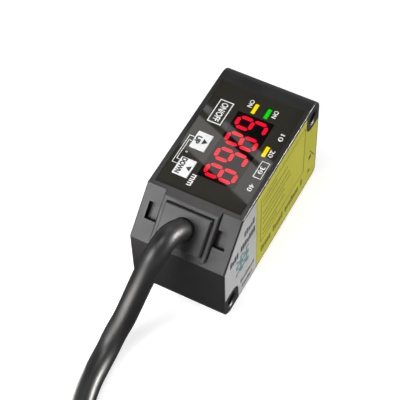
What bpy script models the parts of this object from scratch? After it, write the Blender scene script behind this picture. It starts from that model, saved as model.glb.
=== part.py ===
"""Compact laser displacement sensor with a four-digit display, three keys and a 2 m cable.

The frame: +Z is the outward normal of the display panel, +X the labelled side and -Y the cable
end. The origin is the middle of the flat optical face that the sensor rests on. Sizes below are
millimetres, and every helper turns them into Blender's metres.
"""
import math

import bmesh
import bpy
from mathutils import Matrix, Vector

MM = 0.001

# Case: a block with one corner cut at 45 degrees for the cable
WIDTH = 21.0
LENGTH = 43.0
HEIGHT = 25.0
CUT_LEG = 8.25            # leg of the 45 degree corner cut, along Y and along Z
HOLE_CORNER_R = 3.2       # round corners that the two mounting holes sit in
FOOT_CORNER_R = 1.6       # small round corner at the far end of the optical face
RIM_BEVEL = 0.25          # softened edge between the side faces and the rest

# Walls and fits
WALL = 1.4
FLOOR_T = 1.8
NEAR_WALL = 4.5           # end wall under the cable
COVER_T = 1.4             # thickness of the top cover's plate
SEAM = 0.05               # gap between parts that are closed onto each other
FIT = 0.1                 # gap round a part that drops into its seat
RAIL_W = 0.9              # ledge that the display board rests on

# Mounting holes through the case, for M3 screws
HOLE_D = 3.2
HOLE_INSET = 3.2          # from the end of the case to the hole's axis
HOLE_DEPTH_INSET = 3.55   # from the panel or the optical face to the hole's axis
HOLE_LIP = 0.25
HOLE_BOSS_R = 2.9         # solid case round a hole

# Cable block: the cover's tongue that fills the corner cut between the two cheeks
BLOCK_RIM = 1.05          # block's face on each side of the bush
BLOCK_GAP = 0.2           # dark joint between the block and each cheek
BLOCK_RAISE = 0.8         # block's face above the cheeks
BLOCK_DEPTH = 2.2         # block's back below the cheeks
CHEEK_DEPTH = 3.65        # solid depth of each cheek, and of the case behind the block

# Latch windows in the cheeks, and the block's latches in them
LATCH_REACH = 2.75        # from the block's side into the cheek
LATCH_LOW = -1.33         # along the slope, from the middle of the cut
LATCH_HIGH = 2.37
LATCH_DROP = 1.5          # latch's face below the cheek
LATCH_T = 0.6

# Cable bush: square moulded grommet in the block
BUSH_W = 10.1
BUSH_H = 7.9
BUSH_RAISE = 1.9          # bush's face above the cheeks
BUSH_BEVEL = 0.22
BUSH_GAP = 0.16           # dark joint between the bush and the block
BUSH_FLANGE = 0.7         # flange behind the block, wider than its hole
BUSH_FLANGE_T = 0.8
CORE_OPENING = 5.6        # square opening in the case behind the bush

# Display window, inset in the cover
WINDOW_NEAR = 0.95        # from the corner cut's edge
WINDOW_FAR = 4.95         # from the far end
WINDOW_SIDE = 1.0         # from each side
WINDOW_DROP = 0.3         # window's face below the panel
WINDOW_T = 0.5

# Keys in a row beside the display, each (name, middle from the window's near edge, length)
KEY_SIDE = 1.975          # from the window's edge
KEY_W = 3.35
KEYS = (("teach", 21.05, 6.5), ("up", 12.72, 4.45), ("down", 5.53, 4.45))
KEY_RISE = 0.12           # key's face above the window
KEY_BEVEL = 0.12
KEY_FLANGE = 0.5
KEY_FLANGE_T = 0.7
KEY_STEM_W = 2.0
KEY_TRAVEL = 0.3
SWITCH_W = 3.4
SWITCH_H = 1.6
PLUNGER_D = 1.4
PLUNGER_H = 1.2
PLUNGER_STAND = 0.6       # plunger's top above its switch

# Four-digit display behind the window
DISPLAY_GAP = 1.375       # from the keys
DISPLAY_NEAR = 4.97       # from the window's near edge
DISPLAY_W = 8.2           # along X
DISPLAY_L = 18.1          # along Y
DISPLAY_H = 5.75
DISPLAY_WALL = 0.5
DISPLAY_FACE_T = 0.8
DIGITS = 4
DIGIT_PITCH = 4.46
DIGIT_H = 6.9             # along X
DIGIT_W = 3.44            # along Y
SEGMENT_W = 0.8
SEGMENT_GAP = 0.38        # between the pointed ends of two segments
SEGMENT_FIT = 0.04        # between a segment and the shell round it

# Indicator bars, each (name, x and y from the middle of the display)
BAR_W = 0.92              # along X
BAR_L = 2.94              # along Y
BARS = (("power", 1.53, 11.08), ("laser", -1.36, 11.08), ("output", 5.45, 2.25))
CHIP_L = 2.0
CHIP_H = 0.8

# Boards
BOARD_T = 1.0
BOARD_SIDE = 0.2          # from the case's sides
BOARD_NEAR = 0.95         # display board from the case behind the block
BOARD_FAR = 0.4           # display board from the far hole's boss
BOARD_GAP = 1.95          # between the display board and the main board
END_GAP = 0.7             # main board and optical carrier from the far wall
CONNECTOR_SIDE = 1.5      # from the main board's edges
CONNECTOR_FAR = 0.6       # from the display board's far end
CONNECTOR_L = 2.4
CONTROLLER_HALF_W = 3.5
CONTROLLER_T = 0.9
CAPACITOR_D = 3.8
CAPACITOR_H = 4.2
CAPACITOR_SIDE = 0.7      # from the case's side
CAPACITOR_FAR = 0.4       # from the display board's far end

# Optical pane
PANE_SIDE = 3.2           # from each side
PANE_NEAR = 8.2           # from the ends
PANE_FAR = 6.2
PANE_T = 1.0
PANE_DROP = 0.15          # pane's face above the surface that the sensor rests on
PANE_LEDGE = 1.0

# Optical carrier
HEAD_SIDE = 0.4           # from the case's sides
HEAD_NEAR = 4.4           # from the near wall, with room for the sensor board
HEAD_POST_W = 2.4
HEAD_POST_H = 1.75
HEAD_ROOF_T = 1.0         # above the mirror's chamber

# Laser barrel, collimator lens and laser diode
EMITTER_FAR = 7.5         # from the carrier's screws
BARREL_D = 6.2
BARREL_BORE_D = 4.8
BARREL_LOW = 2.4
BARREL_DEPTH = 1.0        # barrel's top below the carrier's top
LENS_STOP_Z = 3.9         # shoulder in the barrel that the collimator lens sits under
LENS_STOP_T = 0.8
LENS_STOP_D = 4.0
COLLIMATOR_EDGE_T = 0.7
COLLIMATOR_CROWN = 0.7
CAN_FLANGE_D = 5.6
CAN_FLANGE_T = 1.2
CAN_CAP_D = 3.6
CAN_CAP_H = 2.2
CAN_PIN_D = 0.45
CAN_PIN_R = 1.27

# Receiving lens, mirror and image sensor
RECEIVER_NEAR = 6.5       # from the carrier's near end
RECEIVER_D = 6.4
RECEIVER_STOP_Z = 3.2     # shoulder in the carrier that the receiving lens sits under
RECEIVER_SHOULDER = 1.35
RECEIVER_EDGE_T = 0.7
RECEIVER_CROWN = 0.9
MIRROR_T = 0.9
SENSOR_MARGIN = 0.3       # round the image sensor in its tunnel
SENSOR_T = 1.0
SENSOR_BOARD_HALF_W = 4.6
SENSOR_BOARD_LOW = 3.4
SENSOR_BOARD_RISE = 1.0   # above the carrier

# Screws that hold the optical carrier to the case floor
SCREW_SIDE = 2.6          # from the carrier's sides
SCREW_FAR = 2.4           # from its far end
SCREW_D = 1.8
SCREW_HEAD_D = 3.4
SCREW_HEAD_T = 1.1
SCREW_SEAT_Z = 5.0
SCREW_TIP_Z = 0.6
SCREW_EDGE = 0.4          # slope round the screw's head and at its tip

# Labels on the +X side, each with the end of its run along Y
LABEL_T = 0.1
LABEL_JOINT_Y = -7.3      # where the silver and the yellow label meet
LABEL_JOINT_GAP = 0.14
LABEL_MARGIN = 0.45       # from the case's edges
LABEL_CUT_MARGIN = 0.62   # from the edge of the corner cut
LABEL_PAD_R = 3.0         # bare rounded corner at each mounting hole
LABEL_SEAT_GAP = 0.06

# Cable
CABLE_D = 4.7
CABLE_BORE_D = 4.95
# Route of the cable's axis from the bush to the coil, in millimetres
CABLE_ROUTE = (
    (0.0, -16.3, 19.8),
    (0.0, -18.7, 22.2),
    (-0.1, -20.4, 23.8),
    (-0.5, -22.6, 25.0),
    (-0.8, -25.1, 24.9),
    (-1.3, -27.4, 23.4),
    (-1.95, -29.1, 21.0),
    (-2.75, -30.5, 17.8),
    (-3.65, -31.6, 14.2),
    (-4.5, -32.8, 10.7),
    (-5.3, -34.4, 7.5),
    (-6.1, -36.7, 4.8),
    (-6.3, -39.8, 3.0),
    (-6.2, -43.6, 2.4),
    (-5.7, -48.0, 2.4),
    (-4.4, -53.0, 2.4),
    (-2.1, -58.0, 2.4),
    (0.9, -63.0, 2.4),
    (4.3, -67.6, 2.4),
    (7.0, -72.0, 2.4),
    (8.1, -76.0, 2.4),
    (8.175, -78.8, 2.4),
    (8.175, -81.4, 2.4),
)
CABLE_STEP = 5.6          # between the points of the cable's tube
COIL_CENTRE = (-21.2, -99.0)
COIL_MEAN_R = 10.5 * CABLE_D / 2
COIL_COLUMNS = 3
COIL_LAYERS = 4
COIL_REST = 0.02          # lowest point of the coil above the surface
LEAD_Y = -81.5            # where the outermost turn leaves the coil towards the sensor
LEAD_Z = 2.4
TAIL_LENGTH_DEG = 75.0    # arc of jacket that lies on top of the coil
TAIL_REST = 0.3           # tail and cores above the coil
TAIL_START_DEG = 200.0
CORE_COLOURS = ("brown", "white", "blue", "black", "grey")
CORE_D = 1.2
CORE_LENGTH = 30.0
CORE_GAP = 0.6            # between the jacket's end and the cores' start
CORE_BUNDLE_R = 1.1       # cores' places in the jacket, about its axis
CORE_PLACES = (162, 234, 90, 306, 18)

# Values that follow from those above
HALF_W = WIDTH / 2
HALF_L = LENGTH / 2
SPLIT_Z = HEIGHT - COVER_T
CUT_TOP_Y = -HALF_L + CUT_LEG
CUT_LOW_Z = HEIGHT - CUT_LEG
CUT_CENTRE = Vector((0.0, -HALF_L + CUT_LEG / 2, HEIGHT - CUT_LEG / 2))
BLOCK_HALF_W = BUSH_W / 2 + BLOCK_RIM
SLOT_HALF_W = BLOCK_HALF_W + BLOCK_GAP
BLOCK_TOP_Y = CUT_TOP_Y - BLOCK_RAISE * math.sqrt(2)
BLOCK_LOW_Z = CUT_LOW_Z + BLOCK_RAISE * math.sqrt(2)
INNER_HALF_W = HALF_W - WALL
LOWER_HALF_W = INNER_HALF_W - RAIL_W
NEAR_HOLE = (-HALF_L + HOLE_INSET, HOLE_DEPTH_INSET)
FAR_HOLE = (HALF_L - HOLE_INSET, HEIGHT - HOLE_DEPTH_INSET)
BOSS_Y = -HALF_L + HOLE_INSET + HOLE_BOSS_R
BOSS_Z = HOLE_DEPTH_INSET + HOLE_BOSS_R
STEM_Y = HALF_L - HOLE_INSET - HOLE_BOSS_R
STEM_Z = HEIGHT - HOLE_DEPTH_INSET - HOLE_BOSS_R
NEAR_WALL_Y = -HALF_L + NEAR_WALL
FAR_WALL_Y = HALF_L - WALL
WINDOW_Y = (CUT_TOP_Y + WINDOW_NEAR, HALF_L - WINDOW_FAR)
WINDOW_HALF_W = HALF_W - WINDOW_SIDE
WINDOW_TOP = HEIGHT - WINDOW_DROP
WINDOW_LOW = WINDOW_TOP - WINDOW_T
POCKET_Z = WINDOW_LOW - SEAM
KEY_X = -WINDOW_HALF_W + KEY_SIDE + KEY_W / 2
KEY_PLACES = tuple((name, WINDOW_Y[0] + along, length) for name, along, length in KEYS)
KEY_FLANGE_TOP = SPLIT_Z - FIT
DISPLAY_X = KEY_X + KEY_W / 2 + DISPLAY_GAP + DISPLAY_W / 2
DISPLAY_Y = WINDOW_Y[0] + DISPLAY_NEAR + DISPLAY_L / 2
DISPLAY_TOP = WINDOW_LOW - SEAM
BAR_PLACES = tuple((name, DISPLAY_X + dx, DISPLAY_Y + dy) for name, dx, dy in BARS)
DISPLAY_BOARD_TOP = DISPLAY_TOP - DISPLAY_H - SEAM
DISPLAY_BOARD_Z = DISPLAY_BOARD_TOP - BOARD_T
RAIL_Z = DISPLAY_BOARD_Z - SEAM
SWITCH_TOP = DISPLAY_BOARD_TOP + SEAM + SWITCH_H
PLUNGER_TOP = SWITCH_TOP + PLUNGER_STAND
BOARD_NEAR_Y = (DISPLAY_BOARD_TOP - HALF_L - CUT_LOW_Z + CHEEK_DEPTH * math.sqrt(2)) + BOARD_NEAR
DISPLAY_BOARD_Y = (BOARD_NEAR_Y, STEM_Y - BOARD_FAR)
MAIN_BOARD_TOP = DISPLAY_BOARD_Z - BOARD_GAP
MAIN_BOARD_Z = MAIN_BOARD_TOP - BOARD_T
MAIN_BOARD_Y = (BOARD_NEAR_Y, FAR_WALL_Y - END_GAP)
MAIN_BOARD_HALF_W = LOWER_HALF_W - BOARD_SIDE
PANE_Y = (-HALF_L + PANE_NEAR, HALF_L - PANE_FAR)
PANE_HALF_W = HALF_W - PANE_SIDE
PANE_TOP = PANE_DROP + PANE_T
HEAD_Y = (NEAR_WALL_Y + HEAD_NEAR, FAR_WALL_Y - END_GAP)
HEAD_HALF_W = LOWER_HALF_W - HEAD_SIDE
HEAD_TOP = MAIN_BOARD_Z - SEAM - HEAD_POST_H
SCREW_X = HEAD_HALF_W - SCREW_SIDE
SCREW_Y = HEAD_Y[1] - SCREW_FAR
HEAD_POST_Y = (HEAD_Y[0] + HEAD_POST_W, SCREW_Y - SCREW_HEAD_D / 2 - HEAD_POST_W / 2 - 1.5)
EMITTER_Y = SCREW_Y - EMITTER_FAR
BARREL_Z = (BARREL_LOW, HEAD_TOP - BARREL_DEPTH)
RECEIVER_Y = HEAD_Y[0] + RECEIVER_NEAR
CHAMBER_HALF_W = RECEIVER_D / 2 - RECEIVER_SHOULDER
CHAMBER_Z = HEAD_TOP - HEAD_ROOF_T - 2 * CHAMBER_HALF_W
COIL_R = (COIL_MEAN_R - COIL_COLUMNS * CABLE_D / 2, COIL_MEAN_R + COIL_COLUMNS * CABLE_D / 2)
COIL_TOP = COIL_REST + COIL_LAYERS * CABLE_D

PARTS = None
CUTTERS = None


# Scene helpers
def start_scene():
    """Empty the scene and make one collection for the parts and one for the cutters."""
    global PARTS, CUTTERS
    for obj in list(bpy.data.objects):
        bpy.data.objects.remove(obj, do_unlink=True)
    PARTS = bpy.data.collections.new("laser_displacement_sensor")
    CUTTERS = bpy.data.collections.new("cutters")
    for group in (PARTS, CUTTERS):
        bpy.context.scene.collection.children.link(group)


def finish(name, colour, roughness, metallic=0.0):
    """Plain material from an sRGB hex colour."""
    mat = bpy.data.materials.new(name)
    mat.use_nodes = True
    shader = mat.node_tree.nodes["Principled BSDF"]
    channels = [int(colour[i:i + 2], 16) / 255 for i in (0, 2, 4)]
    linear = [c / 12.92 if c <= 0.04045 else ((c + 0.055) / 1.055) ** 2.4 for c in channels]
    shader.inputs["Base Color"].default_value = (*linear, 1.0)
    shader.inputs["Roughness"].default_value = roughness
    shader.inputs["Metallic"].default_value = metallic
    return mat


def mesh_object(name, bm, at=(0.0, 0.0, 0.0)):
    """Object in the parts collection from a bmesh in millimetres, placed at a point."""
    bmesh.ops.scale(bm, vec=(MM, MM, MM), verts=bm.verts)
    bmesh.ops.recalc_face_normals(bm, faces=bm.faces)
    mesh = bpy.data.meshes.new(name)
    bm.to_mesh(mesh)
    bm.free()
    obj = bpy.data.objects.new(name, mesh)
    obj.location = Vector(at) * MM
    PARTS.objects.link(obj)
    return obj


def box(name, low, high, bevel=0.0, segments=2):
    """Box between two corners, with its edges rounded by bevel."""
    size = [b - a for a, b in zip(low, high)]
    centre = [(a + b) / 2 for a, b in zip(low, high)]
    bm = bmesh.new()
    bmesh.ops.create_cube(bm, size=1.0)
    bmesh.ops.scale(bm, vec=size, verts=bm.verts)
    if bevel:
        bmesh.ops.bevel(bm, geom=bm.edges[:], offset=bevel, segments=segments, profile=0.5,
                        affect="EDGES", material=-1)
    return mesh_object(name, bm, centre)


def cylinder(name, radius, low, high, at=(0.0, 0.0), axis="Z", steps=32):
    """Cylinder from low to high along an axis, centred at the two other coordinates."""
    bm = bmesh.new()
    bmesh.ops.create_cone(bm, cap_ends=True, segments=steps, radius1=radius, radius2=radius,
                          depth=high - low)
    middle = (low + high) / 2
    if axis == "X":
        bmesh.ops.rotate(bm, matrix=Matrix.Rotation(math.pi / 2, 3, "Y"), verts=bm.verts)
        obj = mesh_object(name, bm, (middle, at[0], at[1]))
    else:
        obj = mesh_object(name, bm, (at[0], at[1], middle))
    round_shading(obj)
    return obj


def round_shading(obj):
    """Smooth shading with sharp edges kept."""
    obj.data.shade_smooth()
    obj.data.set_sharp_from_angle(angle=math.radians(40))


def arc(centre, radius, start, end, steps=8):
    """Points of an arc in degrees about a centre."""
    turns = [math.radians(start + (end - start) * i / steps) for i in range(steps + 1)]
    return [(centre[0] + radius * math.cos(t), centre[1] + radius * math.sin(t)) for t in turns]


def side_extrusion(name, outline, x_low, x_high):
    """Solid from an outline in the (Y, Z) plane, extruded along X."""
    curve = bpy.data.curves.new(name, "CURVE")
    curve.dimensions = "2D"
    curve.fill_mode = "BOTH"
    curve.extrude = (x_high - x_low) / 2 * MM
    spline = curve.splines.new("POLY")
    spline.points.add(len(outline) - 1)
    for point, (u, v) in zip(spline.points, outline):
        point.co = (u * MM, v * MM, 0.0, 1.0)
    spline.use_cyclic_u = True
    flat = bpy.data.objects.new(name + "_outline", curve)
    PARTS.objects.link(flat)
    axes = Matrix(((0, 0, 1), (1, 0, 0), (0, 1, 0))).to_4x4()
    flat.matrix_world = Matrix.Translation(((x_low + x_high) / 2 * MM, 0, 0)) @ axes
    return baked(flat, name)


def baked(obj, name=None):
    """Replace an object by the mesh that its curve or modifiers make, with flat faces merged."""
    bpy.context.view_layer.update()
    graph = bpy.context.evaluated_depsgraph_get()
    mesh = bpy.data.meshes.new_from_object(obj.evaluated_get(graph))
    matrix = obj.matrix_world.copy()
    name = name or obj.name
    bpy.data.objects.remove(obj, do_unlink=True)
    mesh.name = name
    bm = bmesh.new()
    bm.from_mesh(mesh)
    bmesh.ops.remove_doubles(bm, verts=bm.verts, dist=0.0005 * MM)
    bmesh.ops.dissolve_limit(bm, angle_limit=math.radians(0.5), verts=bm.verts, edges=bm.edges)
    bmesh.ops.recalc_face_normals(bm, faces=bm.faces)
    bm.to_mesh(mesh)
    bm.free()
    solid = bpy.data.objects.new(name, mesh)
    PARTS.objects.link(solid)
    solid.matrix_world = matrix
    return solid


def soften(obj, width, chosen, segments=3):
    """Round the edges that chosen(a, b) picks by their end points in millimetres."""
    bpy.context.view_layer.update()
    matrix = obj.matrix_world
    bm = bmesh.new()
    bm.from_mesh(obj.data)
    edges = [e for e in bm.edges
             if chosen(*(matrix @ v.co / MM for v in e.verts)) and e.calc_face_angle(0.0) > 0.3]
    bmesh.ops.bevel(bm, geom=edges, offset=width * MM, segments=segments, profile=0.5,
                    affect="EDGES", material=-1, clamp_overlap=True)
    bm.to_mesh(obj.data)
    bm.free()


def boolean(obj, tool, operation):
    """Boolean modifier that uses a tool object kept among the cutters."""
    for group in list(tool.users_collection):
        group.objects.unlink(tool)
    CUTTERS.objects.link(tool)
    tool.hide_render = True
    tool.display_type = "WIRE"
    modifier = obj.modifiers.new(tool.name, "BOOLEAN")
    modifier.operation = operation
    modifier.solver = "EXACT"
    modifier.object = tool


def cut(obj, *tools):
    for tool in tools:
        boolean(obj, tool, "DIFFERENCE")


def join(obj, *tools):
    for tool in tools:
        boolean(obj, tool, "UNION")


def on_cut_face(obj, frame):
    """Parent an object that was made about the origin to the frame of the corner cut."""
    obj.parent = frame


def turned(name, profile, at, steps=32):
    """Solid of revolution about +Z from (radius, z) points that run down the outer side."""
    mesh = bpy.data.meshes.new(name)
    bm = bmesh.new()
    verts = [bm.verts.new((r * MM, 0.0, z * MM)) for r, z in profile]
    for a, b in zip(verts, verts[1:]):
        bm.edges.new((a, b))
    if profile[0][0] and profile[-1][0]:
        bm.edges.new((verts[-1], verts[0]))
    bm.to_mesh(mesh)
    bm.free()
    obj = bpy.data.objects.new(name, mesh)
    obj.location = Vector(at) * MM
    PARTS.objects.link(obj)
    screw = obj.modifiers.new("turn", "SCREW")
    screw.steps = steps
    screw.render_steps = steps
    screw.use_merge_vertices = True
    screw.merge_threshold = 0.000001
    screw.use_smooth_shade = True
    return obj


def smooth_points(route, spacing):
    """Points a set distance apart on a Catmull-Rom curve through the route."""
    pts = [Vector(p) for p in route]
    ends = [2 * pts[0] - pts[1]] + pts + [2 * pts[-1] - pts[-2]]
    fine = []
    for a, b, c, d in zip(ends, ends[1:], ends[2:], ends[3:]):
        for i in range(12):
            t = i / 12
            fine.append(0.5 * (2 * b + (c - a) * t + (2 * a - 5 * b + 4 * c - d) * t ** 2
                               + (3 * b - a - 3 * c + d) * t ** 3))
    fine.append(pts[-1])
    total = sum((b - a).length for a, b in zip(fine, fine[1:]))
    count = max(2, round(total / spacing))
    wanted = [total * i / count for i in range(1, count)]
    chosen, gone = [fine[0]], 0.0
    for a, b in zip(fine, fine[1:]):
        step = (b - a).length
        while wanted and gone + step >= wanted[0]:
            chosen.append(a.lerp(b, (wanted.pop(0) - gone) / step))
        gone += step
    return chosen + [fine[-1]]


def tube(name, points, diameter, resolution=2):
    """Round solid along a line of points, as a bevelled curve with closed ends."""
    curve = bpy.data.curves.new(name, "CURVE")
    curve.dimensions = "3D"
    curve.bevel_depth = diameter / 2 * MM
    curve.bevel_resolution = resolution
    curve.use_fill_caps = True
    spline = curve.splines.new("POLY")
    spline.points.add(len(points) - 1)
    for point, co in zip(spline.points, points):
        point.co = (co[0] * MM, co[1] * MM, co[2] * MM, 1.0)
    obj = bpy.data.objects.new(name, curve)
    PARTS.objects.link(obj)
    return obj


# Case
def case_outline():
    """Side view of the whole case in (Y, Z)."""
    near = (-HALF_L + HOLE_CORNER_R, HOLE_CORNER_R)
    foot = (HALF_L - FOOT_CORNER_R, FOOT_CORNER_R)
    far = (HALF_L - HOLE_CORNER_R, HEIGHT - HOLE_CORNER_R)
    return (arc(near, HOLE_CORNER_R, 180, 270) + arc(foot, FOOT_CORNER_R, 270, 360, 6)
            + arc(far, HOLE_CORNER_R, 0, 90) + [(CUT_TOP_Y, HEIGHT), (-HALF_L, CUT_LOW_Z)])


def on_rim(a, b):
    """An edge that runs round one of the two side faces."""
    return abs(abs(a.x) - HALF_W) < 1e-3 and abs(a.x - b.x) < 1e-3


def slope_z(y, offset):
    """Height of a plane parallel to the corner cut, at y, raised off the cut by offset."""
    return y + HALF_L + CUT_LOW_Z + offset * math.sqrt(2)


def slope_y(z, offset):
    return z - HALF_L - CUT_LOW_Z - offset * math.sqrt(2)


def hole_cutter(name, at):
    """Through hole along X that flares into a small lip at each side face."""
    radius, mouth = HOLE_D / 2, HALF_W - HOLE_LIP
    flared = radius + HOLE_LIP + 1
    drill = turned(name, [(0, HALF_W + 1), (flared, HALF_W + 1), (radius, mouth),
                          (radius, -mouth), (flared, -HALF_W - 1), (0, -HALF_W - 1)], (0, *at))
    drill.rotation_euler = (0, math.pi / 2, 0)
    return drill


def build_housing(frame, mat):
    """Moulded case: open on top and between the cheeks, with rails, hole bosses and seats."""
    housing = side_extrusion("housing", case_outline(), -HALF_W, HALF_W)
    soften(housing, RIM_BEVEL, on_rim)
    far = HALF_L + 2
    top = HEIGHT + 2
    opening = box("cover_seat", (-far, CUT_TOP_Y - SEAM, SPLIT_Z - SEAM), (far, far, top))
    slot = side_extrusion("block_slot", [
        (-far, BLOCK_LOW_Z - SEAM), (slope_y(BLOCK_LOW_Z, -BLOCK_DEPTH) + SEAM, BLOCK_LOW_Z - SEAM),
        (slope_y(SPLIT_Z, -BLOCK_DEPTH) + SEAM, SPLIT_Z), (slope_y(SPLIT_Z, -BLOCK_DEPTH) + SEAM, top),
        (-far, top)], -SLOT_HALF_W, SLOT_HALF_W)
    room = [(BOSS_Y, FLOOR_T), (FAR_WALL_Y, FLOOR_T), (FAR_WALL_Y, STEM_Z), (STEM_Y, STEM_Z),
            (STEM_Y, top), (slope_y(top, -CHEEK_DEPTH), top),
            (NEAR_WALL_Y, slope_z(NEAR_WALL_Y, -CHEEK_DEPTH)), (NEAR_WALL_Y, BOSS_Z),
            (BOSS_Y, BOSS_Z)]
    lower = side_extrusion("lower_room", room, -LOWER_HALF_W, LOWER_HALF_W)
    depth = CHEEK_DEPTH - SEAM
    upper = side_extrusion("upper_room", [
        (STEM_Y + SEAM, RAIL_Z), (STEM_Y + SEAM, top), (slope_y(top, -depth), top),
        (slope_y(RAIL_Z, -depth), RAIL_Z)], -INNER_HALF_W, INNER_HALF_W)
    pocket = box("pane_pocket",
                 (-PANE_HALF_W - FIT, PANE_Y[0] - FIT, -1),
                 (PANE_HALF_W + FIT, PANE_Y[1] + FIT, PANE_TOP + SEAM))
    aperture = box("pane_aperture",
                   (-PANE_HALF_W + PANE_LEDGE, PANE_Y[0] + PANE_LEDGE, 0),
                   (PANE_HALF_W - PANE_LEDGE, PANE_Y[1] - PANE_LEDGE, FLOOR_T + 1))
    cut(housing, opening, slot, lower, upper, pocket, aperture)
    cut(housing, hole_cutter("near_hole", NEAR_HOLE), hole_cutter("far_hole", FAR_HOLE))
    for side in (-1, 1):
        inner = SLOT_HALF_W - 0.5
        outer = BLOCK_HALF_W + LATCH_REACH
        window = box(f"latch_window_{side}",
                     (min(side * inner, side * outer), LATCH_LOW, -LATCH_DROP - LATCH_T - FIT),
                     (max(side * inner, side * outer), LATCH_HIGH, 2))
        on_cut_face(window, frame)
        cut(housing, window)
        pilot = cylinder(f"pilot_{side}", SCREW_D / 2 + FIT, SCREW_TIP_Z - FIT, FLOOR_T + 1,
                         (side * SCREW_X, SCREW_Y), steps=20)
        cut(housing, pilot)
    half_w, half_h = BUSH_W / 2 + BUSH_FLANGE + FIT, BUSH_H / 2 + BUSH_FLANGE + FIT
    flange_room = box("flange_room", (-half_w, -half_h, -BLOCK_DEPTH - SEAM - BUSH_FLANGE_T - FIT),
                      (half_w, half_h, 2))
    core_room = box("core_room", (-CORE_OPENING / 2, -CORE_OPENING / 2, -CHEEK_DEPTH - 1),
                    (CORE_OPENING / 2, CORE_OPENING / 2, 0))
    for tool in (flange_room, core_room):
        on_cut_face(tool, frame)
        cut(housing, tool)
    cut(housing, label_seat("housing_label_seat"))
    housing.data.materials.append(mat)
    return housing


def build_cover(frame, mat):
    """Top cover: panel plate with the window's seat, and the cable block as its bent tongue."""
    corner = (HALF_L - HOLE_CORNER_R, HEIGHT - HOLE_CORNER_R)
    end, low, top = HALF_L + 2, BLOCK_LOW_Z - 1, HEIGHT + 2
    cover = side_extrusion("top_cover", arc(corner, HOLE_CORNER_R, 0, 90) + [
        (BLOCK_TOP_Y, HEIGHT), (slope_y(low, BLOCK_RAISE), low), (HALF_L, low)], -HALF_W, HALF_W)
    under = side_extrusion("cover_under", [
        (-end, low - 1), (end, low - 1), (end, SPLIT_Z), (CUT_TOP_Y, SPLIT_Z), (CUT_TOP_Y, top),
        (-end, top)], -WIDTH, WIDTH)
    tongue = side_extrusion("block_tongue", [
        (-end - 1, BLOCK_LOW_Z), (slope_y(BLOCK_LOW_Z, -BLOCK_DEPTH), BLOCK_LOW_Z),
        (slope_y(top + 1, -BLOCK_DEPTH), top + 1), (-end - 1, top + 1)],
        -BLOCK_HALF_W, BLOCK_HALF_W)
    cut(under, tongue)
    cut(cover, under)
    cover = baked(cover)

    def visible_edge(a, b):
        rim = on_rim(a, b) and abs(a.y - b.y) > 1e-3 and max(a.z, b.z) > SPLIT_Z + 0.1
        face = all(abs(p.z - slope_z(p.y, BLOCK_RAISE)) < 0.01 for p in (a, b))
        return rim or face

    soften(cover, RIM_BEVEL, visible_edge)
    seat = box("window_seat", (-WINDOW_HALF_W, WINDOW_Y[0], POCKET_Z),
               (WINDOW_HALF_W, WINDOW_Y[1], HEIGHT + 1))
    display = box("display_opening",
                  (DISPLAY_X - DISPLAY_W / 2 - FIT, DISPLAY_Y - DISPLAY_L / 2 - FIT, SPLIT_Z - 1),
                  (DISPLAY_X + DISPLAY_W / 2 + FIT, DISPLAY_Y + DISPLAY_L / 2 + FIT, HEIGHT))
    cut(cover, seat, display)
    for name, x, y in BAR_PLACES:
        cut(cover, box(f"bar_opening_{name}",
                       (x - BAR_W / 2 - FIT, y - BAR_L / 2 - FIT, SPLIT_Z - 1),
                       (x + BAR_W / 2 + FIT, y + BAR_L / 2 + FIT, HEIGHT)))
    for name, y, length in KEY_PLACES:
        cut(cover, key_opening(f"cover_opening_{name}", y, length, SPLIT_Z - 1, HEIGHT))
    bush_room = box("bush_room", (-BUSH_W / 2 - BUSH_GAP, -BUSH_H / 2 - BUSH_GAP, -BLOCK_DEPTH - 3),
                    (BUSH_W / 2 + BUSH_GAP, BUSH_H / 2 + BUSH_GAP, BLOCK_RAISE + 3))
    on_cut_face(bush_room, frame)
    cut(cover, bush_room)
    for side in (-1, 1):
        inner = BLOCK_HALF_W - 0.4
        outer = BLOCK_HALF_W + LATCH_REACH - FIT
        latch = box(f"latch_{side}",
                    (min(side * inner, side * outer), LATCH_LOW + FIT, -LATCH_DROP - LATCH_T),
                    (max(side * inner, side * outer), LATCH_HIGH - FIT, -LATCH_DROP))
        on_cut_face(latch, frame)
        join(cover, latch)
    cut(cover, label_seat("cover_label_seat"))
    cover.data.materials.append(mat)
    return cover


def build_bush(frame, mat):
    """Square grommet with a flange behind the block and a bore for the cable."""
    bush = box("cable_bush", (-BUSH_W / 2, -BUSH_H / 2, -BLOCK_DEPTH - SEAM - BUSH_FLANGE_T),
               (BUSH_W / 2, BUSH_H / 2, BUSH_RAISE), BUSH_BEVEL)
    on_cut_face(bush, frame)
    flange = box("bush_flange",
                 (-BUSH_W / 2 - BUSH_FLANGE, -BUSH_H / 2 - BUSH_FLANGE,
                  -BLOCK_DEPTH - SEAM - BUSH_FLANGE_T),
                 (BUSH_W / 2 + BUSH_FLANGE, BUSH_H / 2 + BUSH_FLANGE, -BLOCK_DEPTH - SEAM))
    bore = cylinder("bush_bore", CABLE_BORE_D / 2, -BLOCK_DEPTH - 4, BUSH_RAISE + 1)
    for tool in (flange, bore):
        on_cut_face(tool, frame)
    join(bush, flange)
    cut(bush, bore)
    bush.data.materials.append(mat)


# Display window and what is seen through it
def build_window(mat):
    """Smoked sheet in the cover's seat, with an opening for each key."""
    window = box("display_window",
                 (-WINDOW_HALF_W + SEAM, WINDOW_Y[0] + SEAM, WINDOW_LOW),
                 (WINDOW_HALF_W - SEAM, WINDOW_Y[1] - SEAM, WINDOW_TOP))
    for name, y, length in KEY_PLACES:
        cut(window, key_opening(f"window_opening_{name}", y, length, WINDOW_LOW - 1, HEIGHT + 1))
    window.data.materials.append(mat)


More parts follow.
